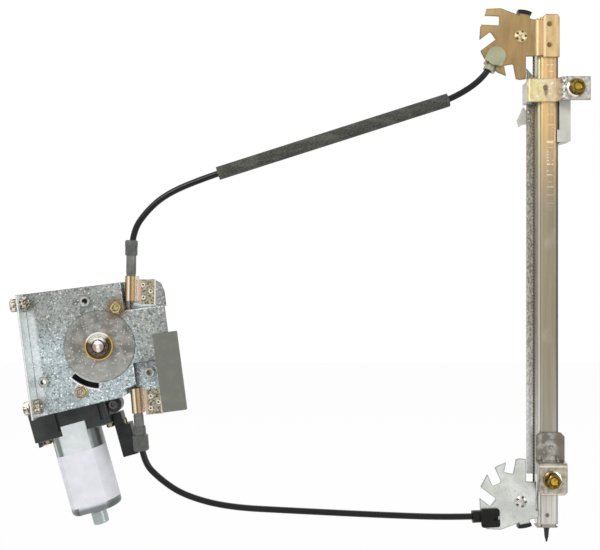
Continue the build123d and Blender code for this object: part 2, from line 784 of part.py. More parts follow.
def conduit_boot(tube, reach, radius):
    """Rubber boot over the ferrule's mouth, swollen outside it."""
    length = math.dist(*tube)
    body = post(
        [
            (FERRULE_R, length - 6.0),
            (4.6, length - 6.0),
            (4.8, length - 5.0),
            (4.8, length + 0.4),
            (radius, length + 1.0),
            (radius, length + reach - 1.0),
            (radius - 0.6, length + reach),
            (CONDUIT_R + 0.4, length + reach),
            (CONDUIT_R + 0.4, length),
            (FERRULE_R, length),
        ]
    )
    return tube_frame(tube) * body


def ferrule_clip(tube):
    """Saddle pressed over a ferrule, its foot on the recessed corner of the base plate."""
    sheet = 1.0
    reach = FERRULE_R + sheet / 2 - 0.2
    seat = RECESS_FRONT - CABLE_Y - sheet / 2
    line = Line((-reach, seat), (-reach, 0))
    line += ThreePointArc((-reach, 0), (0, -reach), (reach, 0))
    line += FilletPolyline((reach, 0), (reach, seat), (19.0, seat), radius=1.0)
    upward = tube[1][1] > tube[0][1]
    drop = FOOT_DROP if upward else -FOOT_DROP
    saddle = Pos(0, 0, min(-drop, 0)) * extrude(trace(line, sheet), CLIP_LENGTH + FOOT_DROP)
    ends = (-30, 0) if upward else (CLIP_LENGTH, CLIP_LENGTH + 30)
    saddle -= block(-20, reach + 1.5, -20, 20, *ends)
    ends = (CLIP_LENGTH - FOOT_DROP, CLIP_LENGTH + 30) if upward else (-30, FOOT_DROP)
    saddle -= block(reach + 1.5, 40, -20, 20, *ends)
    for across, up in ((9.5, 4.0), (15.5, 8.6), (10.0, 14.0)):
        dimple = turned([(0, seat), (0.3, seat), (1.1, seat - 0.6), (0, seat - 0.6)])
        saddle -= Pos(across, 0, up) * dimple
    if not upward:
        saddle = mirror(saddle, Plane.YZ)
    return tube_frame(tube) * saddle


def drum_strand(tube, groove, mirrored):
    """Cable from a ferrule's free end, tangent to its drum groove and a little way round it."""
    (x0, z0), (x1, z1) = tube
    out = math.dist(*tube)
    step = ((x0 - x1) / out, (z0 - z1) / out)
    mouth = (x0 + step[0], z0 + step[1])
    dx, dz = mouth[0] - DRUM_AT[0], mouth[1] - DRUM_AT[1]
    distance = math.hypot(dx, dz)
    side = -1 if mirrored else 1
    touch = math.atan2(dz, dx) - side * math.acos(DRUM_PITCH_R / distance)

    def rim(angle):
        return (
            DRUM_AT[0] + DRUM_PITCH_R * math.cos(angle),
            groove,
            DRUM_AT[1] + DRUM_PITCH_R * math.sin(angle),
        )

    heading = (side * math.sin(touch), 0, -side * math.cos(touch))
    inside = (x0 - 6 * step[0], CABLE_Y, z0 - 6 * step[1])
    start = (mouth[0], CABLE_Y, mouth[1])
    path = Line(inside, start)
    path += Spline(start, rim(touch), tangents=((step[0], 0, step[1]), heading))
    path += ThreePointArc(rim(touch), rim(touch - side * 0.5), rim(touch - side * 1.0))
    return sweep(Plane(origin=path @ 0, z_dir=path % 0) * Circle(CABLE_R), path=path)


# ---- Base plate and its fixings, in the plate's frame ----
def plate_outline():
    """Whole plate as seen from the front."""
    return outline(
        [
            (PLATE_LEFT, PLATE_SIDE[0]),
            (11.8, -41.9),
            (16.4, -39.8),
            (22.6, -54.1),
            (42.5, -56.7),
            (PLATE_RIGHT, -57.0),
            (PLATE_RIGHT, 36.0),
            (52.6, 42.6),
            (47.3, 46.6),
            (22.8, 47.2),
            (PLATE_LEFT, PLATE_SIDE[1]),
        ]
    )


def recess(grow=0):
    """Both recessed corners, optionally grown."""
    upper = rectangle(UPPER_RECESS[0] - grow, 80, UPPER_RECESS[1] - grow, 80)
    inner, top = LOWER_RECESS[0] - grow, LOWER_RECESS[1] + grow
    lower = outline(
        [
            (inner, top),
            (inner, -33.0 + 0.6 * grow),
            (inner - 8.0, -35.8 + 0.6 * grow),
            (inner - 8.0, -80),
            (80, -80),
            (80, top),
        ]
    )
    return upper + lower


def base_plate():
    """Pressed plate: raised field, recessed clip corners, turned-up side, boss for the drum."""
    whole = plate_outline()
    raised = whole - recess()
    floor = RECESS_FRONT + PLATE_SHEET
    plate = deep(whole, RECESS_FRONT, floor) + deep(raised, PLATE_FRONT, floor)
    corners = [
        edge
        for edge in plate.edges()
        if abs(edge.center().Y - PLATE_FRONT) < 0.01
        and min(
            abs(edge.center().X - UPPER_RECESS[0]),
            abs(edge.center().Z - UPPER_RECESS[1]),
            abs(edge.center().X - LOWER_RECESS[0]),
            abs(edge.center().Z - LOWER_RECESS[1]),
        )
        < 0.01
    ]
    plate = fillet(corners, 1.8)
    hollow = rectangle(-80, 80, -80, 80) - recess(PLATE_SHEET)
    plate -= deep(hollow, PLATE_FRONT + PLATE_SHEET, floor + 1)
    side_front = PLATE_FRONT - FLANGE_HEIGHT
    plate += block(PLATE_LEFT, PLATE_LEFT + PLATE_SHEET, side_front, PLATE_FRONT + PLATE_SHEET, *PLATE_SIDE)
    upper_edge, lower_edge = UPPER_RECESS[1], LOWER_RECESS[0]
    behind = (PLATE_FRONT + PLATE_SHEET, RECESS_FRONT)
    plate -= block(lower_edge - 7.0, lower_edge + 1.0, *behind, -37.5, -14.5)
    plate -= block(24.0, 31.0, *behind, upper_edge - 2.5, upper_edge + 1.0)
    plate += disc(0, 0, EMBOSS_R, EMBOSS_FRONT, PLATE_FRONT + PLATE_SHEET)
    plate -= disc(0, 0, EMBOSS_R - 1.2, EMBOSS_FRONT + PLATE_SHEET, floor)
    plate -= disc(0, 0, BUSH_R, 0, floor)
    wedge = outline([(0, 0), (-45.0, -39.0), (-45.0, -60.0), (-9.0, -60.0)])
    window = (Circle(EMBOSS_R + 5.2) - Circle(EMBOSS_R + 0.8)) & wedge
    plate -= deep(window, 0, floor)
    for x, z, front in CLINCH_AT:
        plate -= disc(x, z, CLINCH_SHANK_R, front - 1, front + PLATE_SHEET + 1)
    for x, z in STUD_AT:
        plate -= disc(x, z, M5_R + 0.3, 0, floor)
    for z in FLANGE_BOLT_Z:
        plate -= Pos(PLATE_LEFT - 1, FLANGE_BOLT_Y, z) * Rot(Y=90) * extrude(Circle(M6_R + 0.3), 4)
    return PLATE * plate


def edge_pad():
    """Anti-rattle pad over the plate's free edge, filling the lower recess beside the clip."""
    pad = deep(rectangle(42.4, 61.0, -57.7, 4.0), 8.0, RECESS_FRONT)
    pad -= block(40, PLATE_RIGHT, PLATE_FRONT, 30, LOWER_RECESS[1], 10)
    pad -= block(PLATE_RIGHT, 70, 14.0, 30, -80, 10)
    return PLATE * pad


def plate_clinch_nuts():
    """Three open M5 clinch nuts."""
    nuts = []
    for x, z, front in CLINCH_AT:
        nut = deep(hexagon(8.0), front - 4.0, front)
        nut &= disc(0, 0, 4.45, front - 4.0, front)
        nut += disc(0, 0, CLINCH_SHANK_R, front, front + PLATE_SHEET)
        nut -= disc(0, 0, M5_MINOR_R, front - 5, front + 5)
        nuts.append(PLATE * Pos(x, 0, z) * nut)
    return nuts[0] + nuts[1] + nuts[2]


def gearbox_studs():
    """Two M5 studs from the gear housing through the plate."""
    studs = []
    for x, z in STUD_AT:
        stud = turned([(0, 3.6), (1.8, 3.6), (M5_R, 4.4), (M5_R, COVER_FRONT), (0, COVER_FRONT)])
        studs.append(PLATE * Pos(x, 0, z) * stud)
    return studs[0] + studs[1]


def gearbox_nuts():
    """Flanged M5 nuts on the studs."""
    nuts = []
    for x, z in STUD_AT:
        nut = turned([(0, 8.2), (4.0, 8.2), (4.85, 9.0), (4.85, PLATE_FRONT), (0, PLATE_FRONT)])
        nut += deep(hexagon(8.0), 5.2, 8.4)
        nut -= disc(0, 0, M5_R, 0, 12)
        nuts.append(PLATE * Pos(x, 0, z) * nut)
    return nuts[0] + nuts[1]


def flange_bolts():
    """Two M6 flange bolts through the turned-up side."""
    bolts = []
    for z in FLANGE_BOLT_Z:
        bolts.append(PLATE * Pos(PLATE_LEFT, FLANGE_BOLT_Y, z) * Rot(Z=-90) * flange_bolt(0, 0))
    return bolts[0] + bolts[1]


def flange_nuts():
    """Hexagon nuts on the side bolts."""
    nuts = []
    for z in FLANGE_BOLT_Z:
        ring = extrude(hexagon(M6_FLATS) - Circle(M6_R), 5.0)
        nuts.append(PLATE * Pos(PLATE_LEFT + PLATE_SHEET, FLANGE_BOLT_Y, z) * Rot(Y=90) * ring)
    return nuts[0] + nuts[1]


# ---- Drum, in the gear drive's frame ----
def drum_bush():
    """Flanged bearing bush in the plate's boss."""
    bush = turned(
        [
            (SHAFT_R + RUNNING_FIT, 6.4),
            (BUSH_R, 6.4),
            (BUSH_R, 8.2),
            (9.6, 8.2),
            (9.6, 7.2),
            (11.0, 7.2),
            (11.0, EMBOSS_FRONT),
            (BUSH_R, EMBOSS_FRONT),
            (BUSH_R, DRUM_FRONT - 0.4),
            (SHAFT_R + RUNNING_FIT, DRUM_FRONT - 0.4),
        ]
    )
    return GEAR * bush


def drum_shaft():
    """Output shaft with a domed front end and a reduced rear journal."""
    return GEAR * turned(
        [
            (0, 3.8),
            (2.6, 4.0),
            (4.6, 4.8),
            (SHAFT_R, 6.0),
            (SHAFT_R, 38.4),
            (4.0, 38.4),
            (4.0, 41.0),
            (0, 41.0),
        ]
    )


def shaft_ring():
    """Retaining ring on the shaft's front end."""
    return GEAR * deep(Circle(7.2) - Circle(SHAFT_R), 5.3, 6.3)


def cable_drum():
    """Moulded drum with a groove for each turn of cable."""
    groove = CABLE_R + CABLE_GAP
    points = [(SHAFT_R, DRUM_FRONT), (DRUM_FLANGE_R, DRUM_FRONT), (DRUM_FLANGE_R, DRUM_FRONT + 0.8)]
    rim = DRUM_PITCH_R + 0.4
    points += [(rim, DRUM_FRONT + 1.0), (rim, DRUM_BACK - 0.8)]
    points += [(DRUM_FLANGE_R, DRUM_BACK - 0.6), (DRUM_FLANGE_R, DRUM_BACK), (SHAFT_R, DRUM_BACK)]
    drum = turned(points)
    for y in GROOVES_Y:
        drum -= Pos(0, y, 0) * Rot(X=90) * Torus(DRUM_PITCH_R, groove)
        drum -= deep(Circle(rim + 3) - Circle(rim - 0.4), y - 0.95, y + 0.95)
    return GEAR * drum


def drum_cable_wraps():
    """Cable wound on the drum: one closed ring in each filled groove."""
    rings = []
    for y in GROOVES_Y[1:3]:
        rings.append(GEAR * Pos(0, y, 0) * Rot(X=90) * Torus(DRUM_PITCH_R - CABLE_GAP, CABLE_R))
    return rings[0] + rings[1]


# ---- Worm gear ----
def worm_wheel():
    """Moulded wheel whose straight teeth lean by the worm's lead angle."""
    half = WHEEL_WIDTH / 2
    front, back = WHEEL_MID_Y - half, WHEEL_MID_Y + half
    wheel = turned(
        [
            (SHAFT_R, front),
            (10.0, front),
            (10.0, back - 2.0),
            (26.0, back - 2.0),
            (26.0, front),
            (WHEEL_ROOT_R, front),
            (WHEEL_ROOT_R, back),
            (SHAFT_R, back),
        ]
    )
    slope = math.tan(math.radians(20))
    width = LEAD / 4 - BACKLASH / 2
    buried = WHEEL_ROOT_R - 0.4
    profile = outline(
        [
            (buried, -width - (WHEEL_PITCH_R - buried) * slope),
            (WHEEL_R, -width + MODULE * slope),
            (WHEEL_R, width - MODULE * slope),
            (buried, width + (WHEEL_PITCH_R - buried) * slope),
        ]
    )
    tooth = Rot(X=-LEAD_ANGLE) * deep(profile, -half - 1, half + 1)
    tooth &= block(0, 60, -half, half, -10, 10)
    tooth = Pos(0, WHEEL_MID_Y, 0) * tooth
    step = 360 / TEETH
    teeth = [Rot(Y=180 + (k + 0.5) * step) * tooth for k in range(TEETH)]
    return GEAR * wheel.fuse(*teeth)


def peg_places():
    """Three drive pegs round the wheel."""
    return [Rot(Y=120 * k) * Pos(18.0, 0, 0) for k in range(3)]


def wheel_damper():
    """Rubber damper in the wheel's cup."""
    front, back = WHEEL_MID_Y - WHEEL_WIDTH / 2, WHEEL_MID_Y + WHEEL_WIDTH / 2 - 2.0
    ring = deep(Circle(26.0) - Circle(10.0), front, back)
    for place in peg_places():
        ring -= place * disc(0, 0, 3.0, front - 1, back + 1)
    return GEAR * ring


def drive_plate():
    """Steel driver on the shaft with three pegs in the damper."""
    front = WHEEL_MID_Y - WHEEL_WIDTH / 2
    plate = deep(Circle(24.0) - Circle(SHAFT_R), front - 2.0, front)
    for place in peg_places():
        plate += place * disc(0, 0, 3.0, front - 0.5, front + WHEEL_WIDTH - 2.4)
    return GEAR * plate


def armature_shaft():
    """Motor shaft with the single-start worm rolled on its upper end."""
    shaft = upright(Circle(ARMATURE_SHAFT_R), -134.0, 20.8)
    shaft += upright(Circle(WORM_ROOT_R), -13.6, BUSH_Z[0] - 0.4)
    slope = math.tan(math.radians(20))
    width = LEAD / 4 - BACKLASH / 2
    buried = WORM_ROOT_R - 0.4
    profile = outline(
        [
            (buried, -width - (WORM_PITCH_R - buried) * slope),
            (WORM_R, -width + MODULE * slope),
            (WORM_R, width - MODULE * slope),
            (buried, width + (WORM_PITCH_R - buried) * slope),
        ]
    )
    line = Helix(LEAD, 5.6 * LEAD, WORM_PITCH_R)
    thread = sweep(Plane.XZ * profile, path=line, is_frenet=True)
    shaft += Pos(0, 0, -3 * LEAD) * thread
    return GEAR * MOTOR * shaft


# ---- Gear housing ----
def gear_housing():
    """Moulded housing: wheel case, worm tunnel, brush block, lugs and fixing ear."""
    body = disc(0, 0, HOUSING_R, HOUSING_FRONT, HOUSING_BACK)
    body += MOTOR * upright(Circle(TUNNEL_R), -45.0, TUNNEL_TOP)
    brush = upright(RectangleRounded(BLOCK_X[1] - BLOCK_X[0], BLOCK_Y[1] - BLOCK_Y[0], 3.0), CAN_TOP, -38.0)
    body += Pos(sum(BLOCK_X) / 2, sum(BLOCK_Y) / 2) * brush
    body += block(BLOCK_X[0] + 0.2, -70.3, 28.0, 40.0, -66.0, CAN_TOP + 1)
    body += disc(*EAR_AT, 6.6, 24.0, 34.0)
    body += block(-14.0, 1.0, 27.0, 33.0, -HOUSING_R - 7.0, -HOUSING_R + 4.0)
    for place in lug_places():
        body += place * disc(0, 0, LUG_R, HOUSING_FRONT, HOUSING_BACK)
        body -= place * disc(0, 0, LUG_SCREW_R, HOUSING_FRONT - 1, HOUSING_FRONT + 9)
    body -= disc(0, 0, CAVITY_R, COVER_FRONT, HOUSING_BACK - 2.5)
    body += disc(0, 0, 8.0, 38.6, HOUSING_BACK)
    body -= disc(0, 0, 4.0 + RUNNING_FIT, 37.0, 41.2)
    body -= MOTOR * upright(Circle(WORM_R + 0.4), -26.0, BUSH_Z[0])
    body -= MOTOR * upright(Circle(BUSH_OUTER_R), -47.0, BUSH_Z[0] + BUSH_LENGTH + 4.9)
    body -= MOTOR * upright(Rectangle(34.0, 22.0), CAN_TOP - 1, BRUSH_ROOM[0])
    for x in (-50.0, -15.6):
        body -= block(x - 1.6, x + 1.6, BLOCK_Y[0] - 1, BLOCK_Y[0] + 2.4, -57.0, -42.0)
    for x in CAN_SCREW_X:
        body -= Pos(x, WHEEL_MID_Y) * upright(Circle(2.0), CAN_TOP - 1, -50.0)
    body -= disc(*EAR_AT, 2.0, 20.0, 32.0)
    return GEAR * body


def stud_places():
    """The studs' places in the gear frame."""
    lean = math.radians(GEAR_TURN - PLATE_TURN)
    places = []
    for x, z in STUD_AT:
        places.append(
            Pos(x * math.cos(lean) + z * math.sin(lean), 0, z * math.cos(lean) - x * math.sin(lean))
        )
    return places


def lug_places():
    """The cover screws' places round the wheel case."""
    return [
        Pos(
            LUG_DISTANCE * math.cos(math.radians(angle)),
            0,
            LUG_DISTANCE * math.sin(math.radians(angle)),
        )
        for angle in LUG_ANGLES
    ]


def gear_cover():
    """Wheel case cover with the two pillars that stand the gearbox off the plate."""
    cover = disc(0, 0, HOUSING_R, COVER_FRONT, HOUSING_FRONT)
    for place in lug_places():
        cover += place * disc(0, 0, LUG_R, COVER_FRONT, HOUSING_FRONT)
        cover -= place * disc(0, 0, LUG_SCREW_R, COVER_FRONT - 1, HOUSING_FRONT + 1)
    for place in stud_places():
        cover += place * disc(0, 0, PILLAR_R, PLATE_FRONT + PLATE_SHEET, HOUSING_FRONT)
        cover -= place * disc(0, 0, M5_R, 0, COVER_FRONT)
    cover -= disc(0, 0, SHAFT_R + 0.4, COVER_FRONT - 1, HOUSING_FRONT + 1)
    cover -= MOTOR * upright(Circle(TUNNEL_R), -46.0, TUNNEL_TOP + 1)
    cover -= block(-80, 80, 0, 60, -80, -HOUSING_R + 2.0)
    return GEAR * cover


def cover_screws():
    """Three self-tapping screws round the cover."""
    screws = []
    for place in lug_places():
        top = COVER_FRONT - 2.0
        screw = turned(
            [
                (0, top),
                (2.2, top),
                (3.0, top + 0.8),
                (3.0, COVER_FRONT),
                (LUG_SCREW_R, COVER_FRONT),
                (LUG_SCREW_R, 34.0),
                (0, 34.0),
            ]
        )
        screws.append(GEAR * place * screw)
    return screws[0] + screws[1] + screws[2]


def ear_screw():
    """Screw in the housing's fixing ear."""
    front = 24.0
    screw = turned(
        [
            (0, front - 2.6),
            (3.4, front - 2.6),
            (4.4, front - 1.4),
            (4.4, front),
            (2.0, front),
            (2.0, 31.0),
            (0, 31.0),
        ]
    )
    screw -= turned([(0, front - 3), (1.6, front - 3), (1.2, front - 1.2), (0, front - 1.2)])
    return GEAR * Pos(EAR_AT[0], 0, EAR_AT[1]) * screw


# ---- Motor, upright in the gear frame ----
def can_section(shrink=0):
    """Round can with flattened front and back."""
    return Circle(CAN_WIDTH / 2 - shrink) & Rectangle(CAN_WIDTH, CAN_DEPTH - 2 * shrink)


def motor_can():
    """Drawn steel can: flattened body, bearing boss, fixing flange, front tab."""
    body = upright(can_section(), CAN_BOTTOM, CAN_TOP)
    body = fillet(body.edges().group_by(Axis.Z)[0], 3.0)
    body += upright(Circle(BOSS_R), BOSS_END, CAN_BOTTOM + 1)
    body = chamfer(body.edges().group_by(Axis.Z)[0], 0.8)
    flange = rectangle(-70.0 - WORM_X, -10.0 - WORM_X, -8.0, 8.0)
    body += upright(flange, CAN_TOP - CAN_SHEET, CAN_TOP)
    body += block(-7.0, 13.0, -CAN_DEPTH / 2, -CAN_DEPTH / 2 + CAN_SHEET, CAN_TOP - 3, CAN_TOP + 7.5)
    body -= upright(can_section(CAN_SHEET), CAN_BOTTOM + CAN_SHEET, CAN_TOP + 20)
    body -= upright(Circle(BUSH_OUTER_R), BUSH_Z[2], CAN_BOTTOM + 2)
    for x in CAN_SCREW_X:
        body -= Pos(x - WORM_X, 0) * upright(Circle(2.0), CAN_TOP - 2, CAN_TOP + 1)
    return GEAR * MOTOR * body


def can_screws():
    """Two screws that hold the can's flange to the brush block."""
    screws = []
    under = CAN_TOP - CAN_SHEET
    for x in CAN_SCREW_X:
        screw = post(
            [
                (0, -51.0),
                (1.4, -51.0),
                (2.0, -52.0),
                (2.0, under),
                (3.4, under),
                (3.4, under - 2.6),
                (2.7, under - 3.4),
                (0, under - 3.4),
            ]
        )
        screws.append(GEAR * Pos(x, WHEEL_MID_Y, 0) * screw)
    return screws[0] + screws[1]


def motor_magnets():
    """Two magnet shells in the can's round sides."""
    arc = Circle(CAN_WIDTH / 2 - CAN_SHEET) - Circle(14.0)
    shells = []
    for side in (-1, 1):
        wedge = outline([(0, 0), (side * 20, -17), (side * 20, 17)])
        shells.append(GEAR * MOTOR * upright(arc & wedge, -108.0, -72.0))
    return shells[0] + shells[1]


def armature_core():
    """Laminated core with eight winding slots."""
    face = Circle(13.2) - Circle(ARMATURE_SHAFT_R)
    for k in range(8):
        face -= Rot(Z=45 * k) * Pos(11.5, 0) * Rectangle(5.0, 2.4)
    return GEAR * MOTOR * upright(face, -106.0, -74.0)


def armature_windings():
    """Copper end turns at both ends of the core."""
    coils = []
    for z0, z1 in ((-74.0, -68.0), (-106.0, -112.0)):
        ring = post(
            [
                (ARMATURE_SHAFT_R, z0),
                (11.6, z0),
                (11.6, (z0 + z1) / 2),
                (7.0, z1),
                (ARMATURE_SHAFT_R, z1),
            ]
        )
        coils.append(GEAR * MOTOR * ring)
    return coils[0] + coils[1]


def commutator():
    """Eight-bar commutator."""
    face = Circle(7.5) - Circle(ARMATURE_SHAFT_R)
    for k in range(8):
        face -= Rot(Z=45 * k) * Pos(7.5, 0) * Rectangle(1.4, 0.6)
    return GEAR * MOTOR * upright(face, -60.5, -50.0)


def brush_holder():
    """Moulded plate in the brush block with two brush boxes."""
    top = BRUSH_ROOM[0]
    plate = upright(RectangleRounded(33.0, 21.0, 2.0) - Circle(8.6), top - 2.0, top)
    for side in (-1, 1):
        box = rectangle(side * 8.8, side * 16.0, -3.6, 3.6)
        plate += upright(box, top - 11.5, top - 1.0)
        plate -= upright(rectangle(side * 7.0, side * 15.0, -2.4, 2.4), top - 10.4, top - 4.0)
    return GEAR * MOTOR * plate


def brushes():
    """Two carbon brushes against the commutator."""
    top = BRUSH_ROOM[0]
    blocks = []
    for side in (-1, 1):
        face = rectangle(side * 7.6, side * 14.0, -2.3, 2.3)
        blocks.append(GEAR * MOTOR * upright(face, top - 10.3, top - 4.1))
    return blocks[0] + blocks[1]


def motor_bushes():
    """Three sintered bushes on the motor shaft."""
    ring = Circle(BUSH_OUTER_R) - Circle(ARMATURE_SHAFT_R + RUNNING_FIT)
    bushes = [GEAR * MOTOR * upright(ring, z, z + BUSH_LENGTH) for z in BUSH_Z]
    return bushes[0] + bushes[1] + bushes[2]


def thrust_ball():
    """Ball that takes the shaft's end thrust."""
    return GEAR * MOTOR * Pos(0, 0, 23.4) * Sphere(2.4)


def connector_shell():
    """Socket housing beside the brush block, open at its lower end."""
    shell = upright(RectangleRounded(12.4, 14.0, 1.2), -91.0, -66.0)
    shell = Pos(-3.3, WHEEL_MID_Y) * shell
    shell += block(BLOCK_X[1], -2.0, 28.0, 40.0, -67.0, -55.5)
    room = Pos(-3.3, WHEEL_MID_Y) * upright(RectangleRounded(9.4, 11.0, 0.6), -92.0, -72.0)
    shell -= room
    for y in (31.0, 37.0):
        shell -= block(-5.8, -0.8, y - 0.4, y + 0.4, -73.0, -62.0)
    return GEAR * shell


def connector_terminals():
    """Two blade terminals."""
    blades = [GEAR * block(-5.8, -0.8, y - 0.4, y + 0.4, -86.0, -62.0) for y in (31.0, 37.0)]
    return blades[0] + blades[1]


# ---- Nodes ----
save("guide_rail", guide_rail())
save("end_stop_buffer", end_stop_buffer())
for side in ("upper", "lower"):
    save(f"{side}_pulley_bracket", pulley_bracket(side))
    save(f"{side}_pulley", pulley(side))
    save(f"{side}_conduit_fitting", conduit_fitting(side))
save("pulley_rivets", pulley_rivet("upper") + pulley_rivet("lower"), 2)
save("pulley_washers", pulley_washer("upper") + pulley_washer("lower"), 2)
save("cable_guards", cable_guard("upper") + cable_guard("lower"), 2)
save("rail_cable", rail_cable())
save("upper_fixing_bracket", upper_fixing_bracket())
save("lower_fixing_bracket", lower_fixing_bracket())
save("rail_fixing_bolts", rail_fixing_bolts(), 2)
save("rail_weld_nuts", rail_weld_nuts(), 2)
save("carrier", carrier())
save("cable_nipples", cable_nipples(), 2)
save("glass_insert", glass_insert())
save("upper_conduit", measured_conduit(UPPER_ROUTE))
save("lower_conduit", measured_conduit(LOWER_ROUTE))
save("foam_sleeve", foam_sleeve())
save("conduit_ferrules", conduit_ferrule(UPPER_TUBE) + conduit_ferrule(LOWER_TUBE), 2)
save("conduit_boots", conduit_boot(UPPER_TUBE, 6.0, 5.0) + conduit_boot(LOWER_TUBE, 13.0, 6.1), 2)
save("ferrule_clips", ferrule_clip(UPPER_TUBE) + ferrule_clip(LOWER_TUBE), 2)
save("upper_drum_cable", drum_strand(UPPER_TUBE, GROOVES_Y[0], False))
save("lower_drum_cable", drum_strand(LOWER_TUBE, GROOVES_Y[3], True))
save("base_plate", base_plate())
save("edge_pad", edge_pad())
save("plate_clinch_nuts", plate_clinch_nuts(), 3)
save("gearbox_studs", gearbox_studs(), 2)
save("gearbox_nuts", gearbox_nuts(), 2)
save("flange_bolts", flange_bolts(), 2)
save("flange_nuts", flange_nuts(), 2)
save("drum_bush", drum_bush())
save("drum_shaft", drum_shaft())
save("shaft_ring", shaft_ring())
save("cable_drum", cable_drum())
save("drum_cable_wraps", drum_cable_wraps(), 2)
save("worm_wheel", worm_wheel())
save("wheel_damper", wheel_damper())
save("drive_plate", drive_plate())
save("gear_housing", gear_housing())
save("gear_cover", gear_cover())
save("cover_screws", cover_screws(), 3)
save("ear_screw", ear_screw())
save("motor_can", motor_can())
save("can_screws", can_screws(), 2)
save("motor_magnets", motor_magnets(), 2)
save("armature_shaft", armature_shaft())
save("armature_core", armature_core())
save("armature_windings", armature_windings(), 2)
save("commutator", commutator())
save("brush_holder", brush_holder())
save("brushes", brushes(), 2)
save("motor_bushes", motor_bushes(), 3)
save("thrust_ball", thrust_ball())
save("connector_shell", connector_shell())
save("connector_terminals", connector_terminals(), 2)
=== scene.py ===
import bmesh
import bpy
import math
from mathutils import Matrix, Vector


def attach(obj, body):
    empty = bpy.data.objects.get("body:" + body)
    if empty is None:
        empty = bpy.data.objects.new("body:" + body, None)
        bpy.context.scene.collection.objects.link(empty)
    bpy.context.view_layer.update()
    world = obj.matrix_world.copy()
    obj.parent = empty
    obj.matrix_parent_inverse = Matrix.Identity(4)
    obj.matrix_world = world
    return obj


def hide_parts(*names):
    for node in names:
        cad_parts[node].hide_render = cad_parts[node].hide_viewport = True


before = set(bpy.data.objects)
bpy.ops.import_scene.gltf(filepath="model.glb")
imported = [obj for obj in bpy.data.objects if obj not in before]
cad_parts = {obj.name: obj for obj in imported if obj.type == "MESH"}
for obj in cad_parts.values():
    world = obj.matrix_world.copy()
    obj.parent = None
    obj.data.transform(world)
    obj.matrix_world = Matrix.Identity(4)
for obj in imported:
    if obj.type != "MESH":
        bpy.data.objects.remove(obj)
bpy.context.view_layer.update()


# ---- Guide rail ----
# The rail is a rolled channel of zinc-plated steel, yellow-passivated at its upper end. It has a
# raised web in front, an outward flange on the left and a folded foot. The roll marks run along it.
def paint(red, green, blue):
    """Linear colour from the 0 to 255 values that it shows."""
    levels = (red, green, blue)
    linear = [((c / 255 + 0.055) / 1.055) ** 2.4 if c > 10 else c / 3294 for c in levels]
    return (*linear, 1.0)


class Tone:
    """One value or colour on its way through a material's nodes, with its sums written out."""

    def __init__(self, socket):
        self.socket = socket
        self.tree = socket.id_data

    def node(self, kind, settings, sockets, output=0):
        """Any node: its settings first, then the values or links of its sockets."""
        made = self.tree.nodes.new(kind)
        for name, value in settings.items():
            if name == "stops":
                ramp = made.color_ramp
                while len(ramp.elements) < len(value):
                    ramp.elements.new(1.0)
                for stop, (place, colour) in zip(ramp.elements, value):
                    stop.position = place
                    stop.color = paint(*colour)
            else:
                setattr(made, name, value)
        for name, value in sockets.items():
            target = made.inputs[name]
            if isinstance(value, Tone):
                self.tree.links.new(value.socket, target)
            else:
                target.default_value = value
        return Tone(made.outputs[output])

    def maths(self, operation, *values):
        return self.node("ShaderNodeMath", {"operation": operation}, dict(enumerate(values)))

    def __add__(self, other):
        return self.maths("ADD", self, other)

    def __radd__(self, other):
        return self.maths("ADD", other, self)

    def __sub__(self, other):
        return self.maths("SUBTRACT", self, other)

    def __rsub__(self, other):
        return self.maths("SUBTRACT", other, self)

    def __mul__(self, other):
        return self.maths("MULTIPLY", self, other)

    def __rmul__(self, other):
        return self.maths("MULTIPLY", other, self)

    def __truediv__(self, other):
        return self.maths("DIVIDE", self, other)

    def __abs__(self):
        return self.maths("ABSOLUTE", self)

    def held(self):
        """This sum, kept between 0 and 1."""
        self.socket.node.use_clamp = True
        return self

    def step(self, low, high):
        """0 below low, 1 above high, smooth between them."""
        return self.node(
            "ShaderNodeMapRange",
            {"interpolation_type": "SMOOTHSTEP"},
            {"Value": self, "From Min": low, "From Max": high},
        )

    def blend(self, first, second, kind="MIX"):
        """Colour from first to second as this value goes from 0 to 1."""
        first, second = (c if isinstance(c, Tone) else paint(*c) for c in (first, second))
        settings = {"data_type": "RGBA", "blend_type": kind}
        return self.node("ShaderNodeMix", settings, {0: self, 6: first, 7: second}, 2)

    def under(self, cover, colour, kind="MIX"):
        """This colour, with another laid over it where cover is 1."""
        return cover.blend(self, colour, kind)


